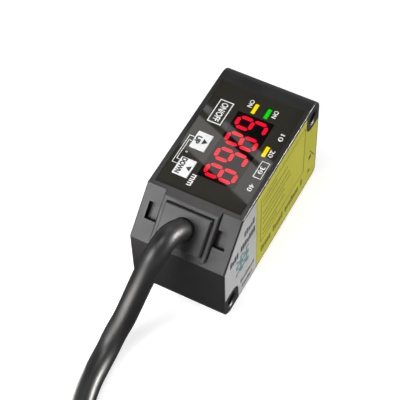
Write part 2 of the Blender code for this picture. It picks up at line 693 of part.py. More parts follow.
def segment_outline(length, width):
    """Long hexagon along U, pointed at both ends."""
    u, v = length / 2, width / 2
    return [(-u, 0), (-u + v, -v), (u - v, -v), (u, 0), (u - v, v), (-u + v, v)]


def segment_places():
    """Middle (x, y) and direction of the seven segments of every digit."""
    places = []
    for digit in range(DIGITS):
        y = DISPLAY_Y + DIGIT_PITCH * ((DIGITS - 1) / 2 - digit)
        reach_x = (DIGIT_H - SEGMENT_W) / 2
        reach_y = (DIGIT_W - SEGMENT_W) / 2
        for x in (-reach_x, 0, reach_x):
            places.append((DISPLAY_X + x, y, "Y"))
        for x in (-reach_x / 2, reach_x / 2):
            for side in (-reach_y, reach_y):
                places.append((DISPLAY_X + x, y + side, "X"))
    return places


def segment_block(name, grow, z_low, z_high):
    """All the segments as prisms in one mesh, each outline grown by a gap."""
    long_x = (DIGIT_H - SEGMENT_W) / 2 - SEGMENT_GAP
    long_y = DIGIT_W - SEGMENT_W - SEGMENT_GAP
    bm = bmesh.new()
    for x, y, direction in segment_places():
        length = long_x if direction == "X" else long_y
        outline = segment_outline(length + 2 * grow, SEGMENT_W + 2 * grow)
        if direction == "X":
            corners = [(x + u, y + v, z_low) for u, v in outline]
        else:
            corners = [(x - v, y + u, z_low) for u, v in outline]
        face = bm.faces.new([bm.verts.new(c) for c in corners])
        raised = bmesh.ops.extrude_face_region(bm, geom=[face])
        top = [g for g in raised["geom"] if isinstance(g, bmesh.types.BMVert)]
        bmesh.ops.translate(bm, vec=(0, 0, z_high - z_low), verts=top)
    return mesh_object(name, bm)


def build_display(shell_mat, resin_mat):
    """Display module: a black shell pierced by the segments, and the cast resin that fills it."""
    x0, x1 = DISPLAY_X - DISPLAY_W / 2, DISPLAY_X + DISPLAY_W / 2
    y0, y1 = DISPLAY_Y - DISPLAY_L / 2, DISPLAY_Y + DISPLAY_L / 2
    low = DISPLAY_BOARD_TOP + SEAM
    roof = DISPLAY_TOP - DISPLAY_FACE_T
    shell = box("display_shell", (x0, y0, low), (x1, y1, DISPLAY_TOP))
    hollow = box("display_hollow", (x0 + DISPLAY_WALL, y0 + DISPLAY_WALL, low - 1),
                 (x1 - DISPLAY_WALL, y1 - DISPLAY_WALL, roof))
    cut(shell, hollow, segment_block("segment_holes", SEGMENT_FIT, roof - 0.5, DISPLAY_TOP + 1))
    shell.data.materials.append(shell_mat)
    gap = DISPLAY_WALL + SEAM
    resin = box("display_resin", (x0 + gap, y0 + gap, low), (x1 - gap, y1 - gap, roof - SEAM))
    join(resin, segment_block("segment_prisms", 0.0, roof - 0.6, DISPLAY_TOP))
    resin.data.materials.append(resin_mat)


def build_indicators(mats):
    """Chip lamp on the board and light bar above it, for each of the three indicators."""
    low = DISPLAY_BOARD_TOP + SEAM
    for name, x, y in BAR_PLACES:
        chip = box(f"lamp_{name}", (x - BAR_W / 2, y - CHIP_L / 2, low),
                   (x + BAR_W / 2, y + CHIP_L / 2, low + CHIP_H), 0.06, 1)
        bar = box(f"light_bar_{name}", (x - BAR_W / 2, y - BAR_L / 2, low + CHIP_H + SEAM),
                  (x + BAR_W / 2, y + BAR_L / 2, DISPLAY_TOP))
        chip.data.materials.append(mats["lamp"])
        bar.data.materials.append(mats["green" if name == "power" else "amber"])


# Keys
def key_opening(name, y, length, z_low, z_high):
    return box(name, (KEY_X - KEY_W / 2 - FIT, y - length / 2 - FIT, z_low),
               (KEY_X + KEY_W / 2 + FIT, y + length / 2 + FIT, z_high))


def build_keys(mats):
    """Key caps with their flanges and stems, each above a switch and its plunger."""
    top = WINDOW_TOP + KEY_RISE
    low = DISPLAY_BOARD_TOP + SEAM
    for name, y, length in KEY_PLACES:
        half_w, half_l = KEY_W / 2, length / 2
        cap = box(f"key_{name}", (KEY_X - half_w, y - half_l, KEY_FLANGE_TOP - KEY_FLANGE_T / 2),
                  (KEY_X + half_w, y + half_l, top), KEY_BEVEL)
        flange = box(f"key_flange_{name}",
                     (KEY_X - half_w - KEY_FLANGE, y - half_l - KEY_FLANGE,
                      KEY_FLANGE_TOP - KEY_FLANGE_T),
                     (KEY_X + half_w + KEY_FLANGE, y + half_l + KEY_FLANGE, KEY_FLANGE_TOP))
        stem = box(f"key_stem_{name}",
                   (KEY_X - KEY_STEM_W / 2, y - KEY_STEM_W / 2, PLUNGER_TOP + SEAM),
                   (KEY_X + KEY_STEM_W / 2, y + KEY_STEM_W / 2, KEY_FLANGE_TOP - KEY_FLANGE_T / 2))
        join(cap, flange, stem)
        cap.data.materials.append(mats["dark" if name == "teach" else "white"])
        switch = box(f"switch_{name}", (KEY_X - SWITCH_W / 2, y - SWITCH_W / 2, low),
                     (KEY_X + SWITCH_W / 2, y + SWITCH_W / 2, SWITCH_TOP), 0.15, 1)
        well = cylinder(f"switch_well_{name}", PLUNGER_D / 2 + FIT,
                        PLUNGER_TOP - PLUNGER_H - KEY_TRAVEL - FIT, SWITCH_TOP + 1, (KEY_X, y),
                        steps=24)
        cut(switch, well)
        switch.data.materials.append(mats["metal"])
        plunger = cylinder(f"plunger_{name}", PLUNGER_D / 2, PLUNGER_TOP - PLUNGER_H, PLUNGER_TOP,
                           (KEY_X, y), steps=24)
        plunger.data.materials.append(mats["dark"])


# Boards
def build_boards(mats):
    """Display board on the case's rails, main board on the head's posts, and parts on them."""
    half = INNER_HALF_W - BOARD_SIDE
    display = box("display_board", (-half, DISPLAY_BOARD_Y[0], DISPLAY_BOARD_Z),
                  (half, DISPLAY_BOARD_Y[1], DISPLAY_BOARD_TOP))
    main = box("main_board", (-MAIN_BOARD_HALF_W, MAIN_BOARD_Y[0], MAIN_BOARD_Z),
               (MAIN_BOARD_HALF_W, MAIN_BOARD_Y[1], MAIN_BOARD_TOP))
    for board in (display, main):
        board.data.materials.append(mats["board"])
    gap_low, gap_high = MAIN_BOARD_TOP + SEAM, DISPLAY_BOARD_Z - SEAM
    half, end = MAIN_BOARD_HALF_W - CONNECTOR_SIDE, DISPLAY_BOARD_Y[1] - CONNECTOR_FAR
    plug = box("board_connector", (-half, end - CONNECTOR_L, gap_low), (half, end, gap_high), 0.1, 1)
    chip = box("controller_chip", (-CONTROLLER_HALF_W, -CONTROLLER_HALF_W, gap_low),
               (CONTROLLER_HALF_W, CONTROLLER_HALF_W, gap_low + CONTROLLER_T), 0.08, 1)
    can_r, groove = CAPACITOR_D / 2, 0.15
    capacitor = turned("filter_capacitor", [
        (0, CAPACITOR_H), (can_r - 0.3, CAPACITOR_H), (can_r, CAPACITOR_H - 0.3), (can_r, 0.8),
        (can_r - groove, 0.65), (can_r, 0.5), (can_r, 0), (0, 0)],
        (INNER_HALF_W - CAPACITOR_SIDE - can_r, DISPLAY_BOARD_Y[1] - CAPACITOR_FAR - can_r,
         DISPLAY_BOARD_TOP + SEAM), 24)
    plug.data.materials.append(mats["white"])
    chip.data.materials.append(mats["dark"])
    capacitor.data.materials.append(mats["metal"])


# Optical head
def build_head(mat):
    """Moulded optical carrier: two bores, a mirror seat with its tunnel, posts and screw wells."""
    low = FLOOR_T + SEAM
    head = box("optical_head", (-HEAD_HALF_W, HEAD_Y[0], low), (HEAD_HALF_W, HEAD_Y[1], HEAD_TOP),
               0.3, 1)
    for side in (-1, 1):
        x = side * (HEAD_HALF_W - HEAD_POST_W / 2)
        for index, y in enumerate(HEAD_POST_Y):
            join(head, box(f"head_post_{side}_{index}",
                           (x - HEAD_POST_W / 2, y - HEAD_POST_W / 2, HEAD_TOP - 1),
                           (x + HEAD_POST_W / 2, y + HEAD_POST_W / 2, MAIN_BOARD_Z - SEAM)))
    barrel_bore = cylinder("barrel_bore", BARREL_D / 2 + FIT, 0, HEAD_TOP + 4, (0, EMITTER_Y))
    lens_bore = cylinder("lens_bore", RECEIVER_D / 2 + FIT, 0, RECEIVER_STOP_Z, (0, RECEIVER_Y))
    near, far = RECEIVER_Y - CHAMBER_HALF_W, RECEIVER_Y + CHAMBER_HALF_W
    roof = CHAMBER_Z + 2 * CHAMBER_HALF_W
    chamber = side_extrusion("mirror_chamber", [
        (near, RECEIVER_STOP_Z - 1), (far, RECEIVER_STOP_Z - 1), (far, CHAMBER_Z), (near, roof)],
        -CHAMBER_HALF_W, CHAMBER_HALF_W)
    tunnel = box("sensor_tunnel", (-CHAMBER_HALF_W, HEAD_Y[0] - 1, CHAMBER_Z),
                 (CHAMBER_HALF_W, near + 0.1, roof - 0.2))
    cut(head, barrel_bore, lens_bore, chamber, tunnel)
    for side in (-1, 1):
        at = (side * SCREW_X, SCREW_Y)
        cut(head, cylinder(f"screw_well_{side}", SCREW_HEAD_D / 2 + FIT, SCREW_SEAT_Z,
                           HEAD_TOP + 4, at, steps=24),
            cylinder(f"screw_drill_{side}", SCREW_D / 2 + FIT, 0, HEAD_TOP, at, steps=20))
    head.data.materials.append(mat)


def build_screws(mat):
    """Two pan-head screws that hold the optical carrier to the case floor."""
    seat = SCREW_SEAT_Z + SEAM
    head_r, shank_r = SCREW_HEAD_D / 2, SCREW_D / 2
    profile = [(0, seat + SCREW_HEAD_T), (head_r - SCREW_EDGE, seat + SCREW_HEAD_T),
               (head_r, seat + SCREW_HEAD_T - SCREW_EDGE), (head_r, seat), (shank_r, seat),
               (shank_r, SCREW_TIP_Z + SCREW_EDGE), (0, SCREW_TIP_Z)]
    for name, side in (("left", -1), ("right", 1)):
        screw = turned(f"head_screw_{name}", profile, (side * SCREW_X, SCREW_Y, 0), 20)
        screw.data.materials.append(mat)


def build_emitter(mats):
    """Laser barrel with a shoulder, the collimator lens under it and the laser diode on top."""
    z_low, z_high = BARREL_Z
    outer, bore, stop = BARREL_D / 2, BARREL_BORE_D / 2, LENS_STOP_D / 2
    stop_top = LENS_STOP_Z + LENS_STOP_T
    at = (0, EMITTER_Y, 0)
    barrel = turned("laser_barrel", [
        (outer, z_high), (outer, z_low), (bore, z_low), (bore, LENS_STOP_Z), (stop, LENS_STOP_Z),
        (stop, stop_top), (bore, stop_top), (bore, z_high)], at)
    lens = build_lens("collimator_lens", bore - FIT, LENS_STOP_Z - SEAM, COLLIMATOR_EDGE_T,
                      COLLIMATOR_CROWN, at)
    low = z_high + SEAM
    top = low + CAN_FLANGE_T
    flange_r, cap_r = CAN_FLANGE_D / 2, CAN_CAP_D / 2
    diode = baked(turned("laser_diode", [
        (0, top), (flange_r, top), (flange_r, low), (cap_r, low), (cap_r, low - CAN_CAP_H + 0.2),
        (cap_r - 0.2, low - CAN_CAP_H), (0, low - CAN_CAP_H)], at, 24))
    for index in range(3):
        turn = math.radians(90 + 120 * index)
        pin_at = (CAN_PIN_R * math.cos(turn), EMITTER_Y + CAN_PIN_R * math.sin(turn))
        join(diode, cylinder(f"diode_pin_{index}", CAN_PIN_D / 2, top - 0.5, MAIN_BOARD_Z - SEAM,
                             pin_at, steps=10))
    for obj, key in ((barrel, "metal"), (lens, "glass"), (diode, "brass")):
        obj.data.materials.append(mats[key])


def build_lens(name, radius, top, edge, crown, at):
    """Plano-convex lens with its flat side up."""
    bulge = [(radius * math.cos(t), top - edge - crown * math.sin(t))
             for t in (math.radians(15 * i) for i in range(7))]
    bulge[-1] = (0, top - edge - crown)
    return turned(name, [(0, top), (radius, top)] + bulge, at, 28)


def build_receiver(mats):
    """Receiving lens, the mirror above it and the image sensor that looks into the tunnel."""
    lens = build_lens("receiver_lens", RECEIVER_D / 2, RECEIVER_STOP_Z - SEAM, RECEIVER_EDGE_T,
                      RECEIVER_CROWN, (0, RECEIVER_Y, 0))
    middle_z = CHAMBER_Z + CHAMBER_HALF_W
    half = CHAMBER_HALF_W - FIT
    slope = math.sqrt(0.5)
    reach = CHAMBER_HALF_W / slope - MIRROR_T - 2 * FIT
    mirror = box("fold_mirror", (-half, -reach, -MIRROR_T / 2), (half, reach, MIRROR_T / 2), 0.08, 1)
    mirror.rotation_euler = (math.radians(-45), 0, 0)
    behind = MIRROR_T / 2 + SEAM
    mirror.location = Vector((0, RECEIVER_Y - behind * slope, middle_z - behind * slope)) * MM
    face_y = HEAD_Y[0] - SEAM
    board = box("sensor_board", (-SENSOR_BOARD_HALF_W, face_y - BOARD_T, SENSOR_BOARD_LOW),
                (SENSOR_BOARD_HALF_W, face_y, HEAD_TOP + SENSOR_BOARD_RISE))
    chip_half = CHAMBER_HALF_W - SENSOR_MARGIN
    chip = box("image_sensor", (-chip_half, face_y + SEAM, middle_z - chip_half),
               (chip_half, face_y + SEAM + SENSOR_T, middle_z + chip_half), 0.08, 1)
    for obj, key in ((lens, "glass"), (mirror, "mirror"), (board, "board"), (chip, "dark")):
        obj.data.materials.append(mats[key])


def build_pane(mat):
    """Dark optical pane in the case floor, that the beam leaves and returns through."""
    pane = box("front_pane", (-PANE_HALF_W, PANE_Y[0], PANE_DROP),
               (PANE_HALF_W, PANE_Y[1], PANE_TOP), 0.08, 1)
    pane.data.materials.append(mat)


# Labels
def label_outline(y_low, y_high, gap):
    """Label's outline in (Y, Z), clear of the case's edges and of the hole pads, grown by gap."""
    edge = LABEL_MARGIN - gap
    slant = LABEL_CUT_MARGIN - gap
    pad = LABEL_PAD_R - gap
    left, right = max(y_low, -HALF_L + edge), min(y_high, HALF_L - edge)
    low, high = edge, HEIGHT - edge - RIM_BEVEL
    points = []
    if y_low < -HALF_L:
        cy, cz = NEAR_HOLE
        points += [(left, cz + pad), *arc((cy, cz), pad, 90, 0, 8), (cy + pad, low)]
    else:
        points.append((left, low))
    if y_high > HALF_L:
        foot = FOOT_CORNER_R
        cy, cz = FAR_HOLE
        points += [*arc((right - foot, low + foot), foot, 270, 360, 4), (right, cz - pad),
                   *arc((cy, cz), pad, 270, 180, 8), (cy - pad, high)]
    else:
        points += [(right, low), (right, high)]
    if y_low < -HALF_L:
        points += [(slope_y(high, -slant), high), (left, slope_z(left, -slant))]
    else:
        points.append((left, high))
    return points


def label_seat(name):
    """Shallow seat that the two labels share, on the +X side."""
    outline = label_outline(-LENGTH, LENGTH, LABEL_SEAT_GAP)
    return side_extrusion(name, outline, HALF_W - LABEL_T - SEAM / 2, HALF_W + 1)


def build_labels(mats):
    half_gap = LABEL_JOINT_GAP / 2
    runs = (("silver", -LENGTH, LABEL_JOINT_Y - half_gap), ("yellow", LABEL_JOINT_Y + half_gap, LENGTH))
    for name, y_low, y_high in runs:
        label = side_extrusion(f"label_{name}", label_outline(y_low, y_high, 0.0),
                               HALF_W - LABEL_T, HALF_W)
        label.data.materials.append(mats[name])


# Cable
def coil_section():
    """Outline of the coil's section, one bulge for each turn that shows, as (radius, z) points."""
    r_in, r_out = COIL_R
    half = CABLE_D / 2
    heights = [COIL_TOP - half - i * CABLE_D for i in range(COIL_LAYERS)]
    radii = [r_out - half - i * CABLE_D for i in range(COIL_COLUMNS)]
    bulges = [((radii[0], heights[0]), 150, -60)]
    bulges += [((radii[0], z), 60, -60) for z in heights[1:-1]]
    bulges += [((radii[0], heights[-1]), 60, -150)]
    bulges += [((r, heights[-1]), -30, -150) for r in radii[1:-1]]
    bulges += [((radii[-1], heights[-1]), -30, -240)]
    bulges += [((radii[-1], z), -120, -240) for z in reversed(heights[1:-1])]
    bulges += [((radii[-1], heights[0]), -120, -330)]
    bulges += [((r, heights[0]), 150, 30) for r in reversed(radii[1:-1])]
    points = []
    for centre, start, end in bulges:
        points += arc(centre, half, start, end, round((start - end) / 40))
    return points


def build_cable(mats):
    """Cable from the bush to the coil, the coil, its free end and the five cores."""
    cable = tube("cable", smooth_points(CABLE_ROUTE, CABLE_STEP), CABLE_D, 3)
    coil = baked(turned("cable_coil", coil_section(), (*COIL_CENTRE, 0), 40))
    lead_x = COIL_CENTRE[0] + COIL_R[1] - CABLE_D / 2
    lead = tube("coil_lead", [(lead_x, LEAD_Y, LEAD_Z), (lead_x, COIL_CENTRE[1], LEAD_Z)], CABLE_D, 3)
    join(coil, baked(lead))
    tail_z = COIL_TOP + TAIL_REST + CABLE_D / 2
    steps = 12
    turns = [math.radians(TAIL_START_DEG - TAIL_LENGTH_DEG * i / steps) for i in range(steps + 1)]
    tail = tube("cable_tail", [(COIL_CENTRE[0] + COIL_MEAN_R * math.cos(t),
                                COIL_CENTRE[1] + COIL_MEAN_R * math.sin(t), tail_z)
                               for t in turns], CABLE_D, 3)
    for obj in (cable, coil, tail):
        obj.data.materials.append(mats["cable"])
    drop = (CABLE_D - CORE_D) / 2
    fan = (COIL_COLUMNS * CABLE_D - 2 * CORE_D) / (len(CORE_COLOURS) - 1)
    for index, colour in enumerate(CORE_COLOURS):
        place = math.radians(CORE_PLACES[index])
        side, rise = CORE_BUNDLE_R * math.cos(place), CORE_BUNDLE_R * math.sin(place)
        spread = fan * (index - (len(CORE_COLOURS) - 1) / 2)
        points = []
        for i in range(7):
            t = i / 6
            turn = turns[-1] - (CORE_GAP + CORE_LENGTH * t) / COIL_MEAN_R
            radius = COIL_MEAN_R + side + (spread - side) * t
            points.append((COIL_CENTRE[0] + radius * math.cos(turn),
                           COIL_CENTRE[1] + radius * math.sin(turn),
                           tail_z + rise * (1 - t) - drop * t))
        core = tube(f"core_{colour}", points, CORE_D, 2)
        core.data.materials.append(mats["core_" + colour])


def main():
    start_scene()
    frame = bpy.data.objects.new("corner_cut_frame", None)
    frame.location = CUT_CENTRE * MM
    frame.rotation_euler = (math.radians(45), 0, 0)
    PARTS.objects.link(frame)

    case = finish("black_pbt", "3a3839", 0.45)
    cover = finish("grey_black_pbt", "464546", 0.42)
    mats = {
        "dark": finish("black_nylon", "232223", 0.5),
        "white": finish("white_key_plastic", "efefef", 0.4),
        "metal": finish("bright_metal", "b9babd", 0.3, 1.0),
        "brass": finish("gilt_steel", "c9a85a", 0.3, 1.0),
        "board": finish("green_laminate", "1f5a35", 0.5),
        "glass": finish("lens_glass", "cfd8da", 0.05),
        "mirror": finish("mirror_coat", "e2e4e6", 0.05, 1.0),
        "lamp": finish("lamp_ceramic", "e8e2cf", 0.5),
        "green": finish("green_light_bar", "00f000", 0.3),
        "amber": finish("yellow_light_bar", "ffe800", 0.3),
        "silver": finish("silver_film", "adadad", 0.35),
        "yellow": finish("yellow_film", "b0ad45", 0.45),
        "cable": finish("black_pvc", "1e1d1e", 0.35),
        "core_brown": finish("brown_core", "6b3d22", 0.4),
        "core_white": finish("white_core", "e6e6e2", 0.4),
        "core_blue": finish("blue_core", "2356a8", 0.4),
        "core_black": finish("black_core", "1b1b1b", 0.4),
        "core_grey": finish("grey_core", "8b8d8f", 0.4),
    }
    build_housing(frame, case)
    build_cover(frame, cover)
    build_bush(frame, finish("soft_grey_black", "454445", 0.5))
    build_window(finish("smoked_window", "32302a", 0.1))
    build_display(finish("display_black", "101010", 0.4), finish("display_resin", "5a1218", 0.4))
    build_indicators(mats)
    build_keys(mats)
    build_boards(mats)
    build_head(mats["dark"])
    build_screws(mats["metal"])
    build_emitter(mats)
    build_receiver(mats)
    build_pane(finish("optical_pane", "2a1216", 0.08))
    build_labels(mats)
    build_cable(mats)


main()
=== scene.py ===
"""Looks of a laser displacement sensor: its cable, print, lit display, materials and a small studio.

The frame: +Z is the outward normal of the display panel, +X the labelled side and -Y the cable
end. Sizes are millimetres unless a line says otherwise, and a bmesh is in metres once it becomes
an object. On the panel, print is placed by (u, v), where u runs along the words, towards -Y, and
v is up the letters, towards +X. On the labelled side, u is Y and v is Z.
"""
import math

import bmesh
import bpy
from bpy.props import FloatProperty, FloatVectorProperty, PointerProperty
from mathutils import Matrix, Vector


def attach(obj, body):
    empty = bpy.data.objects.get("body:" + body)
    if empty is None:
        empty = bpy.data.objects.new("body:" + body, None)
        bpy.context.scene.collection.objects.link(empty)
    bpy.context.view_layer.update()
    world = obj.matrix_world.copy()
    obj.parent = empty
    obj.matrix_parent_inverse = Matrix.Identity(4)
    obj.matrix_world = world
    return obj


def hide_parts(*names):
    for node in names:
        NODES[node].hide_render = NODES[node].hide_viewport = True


bl_info = {
    "name": "Laser displacement sensor",
    "version": (1, 0, 0),
    "blender": (4, 5, 0),
    "location": "3D View > Sidebar > Sensor",
    "description": "Cable, print, lit display and finishes of a laser displacement sensor",
    "category": "Object",
}

MM = 0.001
NOISE_LOW, NOISE_HIGH = 0.3, 0.7    # nearly all values of a noise texture
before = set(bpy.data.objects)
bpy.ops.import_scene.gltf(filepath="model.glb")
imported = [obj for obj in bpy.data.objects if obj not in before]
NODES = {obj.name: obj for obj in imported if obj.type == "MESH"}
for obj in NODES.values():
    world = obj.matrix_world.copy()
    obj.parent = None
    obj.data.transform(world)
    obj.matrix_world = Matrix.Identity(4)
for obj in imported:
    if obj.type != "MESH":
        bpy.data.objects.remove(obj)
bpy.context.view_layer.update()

# Camera: place and axes in the frame, its lens and its sensor's width
CAMERA_PLACE = (77.681, -146.147, 241.725)
CAMERA_RIGHT = (0.8826438, 0.4694313, -0.0239627)
CAMERA_UP = (-0.3705578, 0.7262912, 0.5789543)
CAMERA_BACK = (0.2891832, -0.5021308, 0.8150078)
CAMERA_LENS = 123.48
CAMERA_SENSOR_W = 36.0

# Cable: axis from the bush to the coil
CABLE_ROUTE = (
    (0.0, -16.3, 19.8), (0.0, -18.7, 22.2), (-0.1, -20.4, 23.8), (-0.5, -22.6, 25.0),
    (-0.8, -25.1, 24.9), (-1.3, -27.4, 23.4), (-1.95, -29.1, 21.0), (-2.75, -30.5, 17.8),
    (-3.65, -31.6, 14.2), (-4.5, -32.8, 10.7), (-5.3, -34.4, 7.5), (-6.1, -36.7, 4.8),
    (-6.3, -39.8, 3.0), (-6.2, -43.6, 2.4), (-5.7, -48.0, 2.4), (-4.4, -53.0, 2.4),
    (-2.1, -58.0, 2.4), (0.9, -63.0, 2.4), (4.3, -67.6, 2.4), (7.0, -72.0, 2.4),
    (8.1, -76.0, 2.4), (8.175, -78.8, 2.4), (8.175, -81.4, 2.4),
)
CABLE_D = 4.7
CABLE_STEP = 1.4          # distance between the points of the cable's line
ROUTE_STEPS = 12          # fine steps from one point of the route to the next
COIL_CENTRE = (-21.2, -99.0)
COIL_LIFT = 0.6           # the coil rests on its two ties
LIFT_Y, LIFT_RUN = -63, 18   # where the free run starts to rise to the coil, and in what length
LEAD_YS = range(-83, -98, -2)    # straight stretch beside the coil, before its first turn
COLUMNS = (29.375, 24.675, 19.975)       # radii of the turns
LAYERS = (2.37, 7.07, 11.77, 16.47)      # heights of the turns
CROSSING = 14.0           # length of cable in which a turn moves over to its next place
TOP_Z = 21.47             # height of the free end, on top of the turns
TAIL_END_DEG = -235.0

# Cores: colour, place in the jacket in degrees, and what is added to the insulation's length
CORES = {"brown": ("#6b3d22", 162, -1.2), "white": ("#e6e6e2", 234, 0.4), "blue": ("#2557a8", 90, 0.0),
         "black": ("#1c1c1c", 306, 0.8), "grey": ("#8b8d8f", 18, -0.6)}
CORE_D = 1.2
CORE_BUNDLE_R = 1.1
CORE_INSULATION, CORE_BARE = 25.0, 5.0
CORE_HIDDEN = 1.0         # how far a core starts inside the jacket, and its strands inside it
CORE_FALL = 14.0          # length in which the cores come down to lie on the turns
STRAND_D = 0.75
CORE_STEPS, STRAND_STEPS = 24, 8

# Ties round the coil
TIE_DEGREES = (-45.0, -221.0)
TIE_WIDTH = 2.5
TIE_THICKNESS = 0.45
TIE_SLACK = 0.06
TIE_ARC_STEPS = 32
# Its lock and its free end: size, distance from the turns, height, bevel and bevel's steps
TIE_BLOCKS = (((3.0, 4.4, 4.2), 1.7, 9.5, 0.5, 3), ((7.0, TIE_WIDTH, 1.0), 5.0, 10.4, 0.2, 2))

# Panel
WINDOW = ((-9.5, 9.5), (-12.3, 16.55))
WINDOW_TOP = 24.7
OVERLAY_T = 0.02          # film on the window, open over the display, the bars and the keys
OVERLAY_GAP = 0.003
OVERLAY_Z = WINDOW_TOP + OVERLAY_GAP
OVERLAY_TOP = WINDOW_TOP + OVERLAY_T + OVERLAY_GAP
PRINT_T = 0.02
KEY_TOP = 24.82
KEY_X, KEY_W = -5.85, 3.35
KEY_FIT = 0.1             # gap round a key in the film
# Middles in (X, Y), and sizes along X and Y
DISPLAY = (1.3, 1.72)
DISPLAY_SIZE = (8.2, 18.1)
BARS = {"power": (2.83, 12.8), "laser": (-0.06, 12.8), "output": (6.75, 3.97)}
BAR_SIZE = (0.92, 2.94)
KEYS = {"teach": (8.75, 6.5), "up": (0.42, 4.45), "down": (-6.77, 4.45)}   # Y and length in Y
DIGIT_PITCH = 4.46
DIGIT_H = 6.9
DIGIT_W = 3.44
SEGMENT_W = 0.8
SEGMENT_GAP = 0.38
SEGMENT_INSET = 0.06      # how much shorter the light is than its opening
SEGMENT_T = 0.01
READING = "6868"
UNLIT = {"6": ("upper_right",), "8": ()}     # dark segments of each figure

# Print on the panel. A word is (text, u, v, height, width), about its middle
PANEL_WORDS = (("mm", 8.95, -3.08, 1.0, 2.9), ("ON", -13.2, 4.32, 1.0, 2.0),
               ("ON", -13.6, -1.33, 1.0, 2.0), ("10", -8.4, 8.08, 1.05, 1.9),
               ("20", -3.9, 8.08, 1.05, 1.9), ("30", 0.62, 8.08, 1.05, 1.9),
               ("40", 5.3, 8.08, 1.05, 1.9), ("0", 3.2, -7.25, 0.5, 0.4))
BOXED_WORD = (-1.56, 2.8, 7.19, 9.0)     # its frame: u0, u1, v0, v1
BOXED_WORD_LINE = 0.18
BRACKETS = ((-0.875, 6.66, -8.75), (0.25, 5.56, -8.3))   # u0, u1 and the foot of each
BRACKET_TOP = -7.55
BRACKET_LINE = 0.14
TEACH_FRAME = (-11.88, -5.62, -7.4, -4.3)
TEACH_FRAME_LINE = 0.22
TEACH_WORD = ("ON/OFF", -8.75, -5.85, 1.45, 5.0)
# Marks of the two white keys: u, whether the triangle points up, and the word's width
KEY_MARKS = {"up": (-0.42, True, 2.0), "down": (6.77, False, 4.0)}
KEY_TRIANGLE = (-5.0, 0.7, 1.05)    # v, half width and height
KEY_WORD = (-6.6, 1.2)    # v and height
WORD_WEIGHT, KEY_WORD_WEIGHT = 0.022, 0.05

# Print on the labels. Marks are (u0, u1, v0, v1, pattern, line)
SIDE_X = 10.5
YELLOW_FRAME = (-5.5, 15.0, 7.1, 21.9)
YELLOW_FRAME_LINE = 0.3
YELLOW_ROWS = ((20.4, 6.0, 12), (18.75, 11.0, 18), (16.3, 12.0, 20), (14.5, 12.6, 20),
               (12.7, 9.8, 16), (10.4, 10.0, 15), (8.8, 6.4, 11))   # v, length and blocks of a row
YELLOW_ROW_U, YELLOW_ROW_H = -4.4, 0.64
ROW_GAP = 0.4             # share of a row's pitch that stays bare
YELLOW_MARKS = ((-5.2, 14.6, 3.3, 5.3, "doooo doood ooodooo d", 0.27),)
YELLOW_SLASH = ((17.6, 11.2), (17.85, 11.2), (20.3, 7.1), (20.05, 7.1))
YELLOW_DOTS = ((17.4, 18.6, 8.1, 9.3), (17.3, 18.2, 3.7, 4.6))
SILVER_MARKS = ((-12.7, -8.1, 18.5, 20.3, "ddood", 0.3), (-18.8, -7.9, 15.2, 17.1, "dodd dddoddd", 0.32),
                (-14.4, -8.2, 4.2, 5.3, "dooddood", 0.2), (-13.8, -9.0, 1.8, 2.9, "doodoo", 0.2))
MARK_W, LOW_MARK_H = 0.76, 0.72    # shares of a mark's pitch and of a tall mark's height
SQUARE_AT, SQUARE_SIZE, SQUARE_CELLS = (-16.3, 8.8), 5.5, 9
SQUARE_FILL = 0.94        # share of a cell that is printed

# Studio: softboxes as place, target, size, power, and whether reflections show them. The holes'
# lips would show the side one
SOFTBOXES = {
    "front_softbox": ((-50, -104, 82), (0, -17, 18), (62, 48), 0.135, True),
    "top_softbox": ((-30, -90, 780), (0, -10, 20), (300, 300), 2.2, True),
    "side_softbox": ((690, -190, 110), (10, 0, 12), (380, 200), 4.0, False),
}
# Strips high above the panel, by the corners that their reflections have on the window
STRIPS = {
    "narrow_strip_light": ((14.0, 0.25), (14.0, -2.17), (-14.0, 9.81), (-14.0, 11.2)),
    "wide_strip_light": ((14.0, -3.2), (14.0, -11.0), (-14.0, -0.1), (-14.0, 8.0)),
}
STRIP_Z, STRIP_STRENGTH = 600.0, 1.9
NEAR_STRIP, NEAR_STRIP_STRENGTH = (-19, 7, -2.3, 2.3, 50), 9.0      # x0, x1, y0, y1, z
RIM_STRIP, RIM_STRIP_STRENGTH = ((560, 350, 172), (8, 0, 22), 130, 150), 170.0
DARK_CARD, DARK_CARD_STRENGTH = (-260, 420, -420, 320, 0.01), 0.11
CABLE_CARD, CABLE_CARD_TOP, CABLE_CARD_STRENGTH = (-26, -6.5, -60, -43, 0.02), 26, 7.0
FLOOR_SIZE = 1500         # half of its side
FLOOR_GLOW = 0.7


# Small helpers
def linear(hex_colour):
    """Linear RGBA of an sRGB hex colour."""
    parts = [int(hex_colour[i:i + 2], 16) / 255 for i in (1, 3, 5)]
    return tuple(c / 12.92 if c <= 0.04045 else ((c + 0.055) / 1.055) ** 2.4 for c in parts) + (1.0,)


def rgb(hex_colour):
    """Linear RGB of an sRGB hex colour."""
    return linear(hex_colour)[:3]


def add_node(tree, kind, values=None, links=None, **settings):
    """Adds a node with its own settings, its inputs' values and the sockets linked to them."""
    node = tree.nodes.new(kind)
    for key, value in settings.items():
        setattr(node, key, value)
    for socket, value in (values or {}).items():
        node.inputs[socket].default_value = value
    for socket, source in (links or {}).items():
        tree.links.new(source, node.inputs[socket])
    return node


def new_material(name):
    """Empty material with its Object coordinates and its Principled shader, wired to the output."""
    material = bpy.data.materials.new(name)
    material.use_nodes = True
    tree = material.node_tree
    tree.nodes.clear()
    coords = add_node(tree, "ShaderNodeTexCoord").outputs["Object"]
    shader = add_node(tree, "ShaderNodeBsdfPrincipled")
    add_node(tree, "ShaderNodeOutputMaterial", links={"Surface": shader.outputs["BSDF"]})
    return material, tree, coords, shader


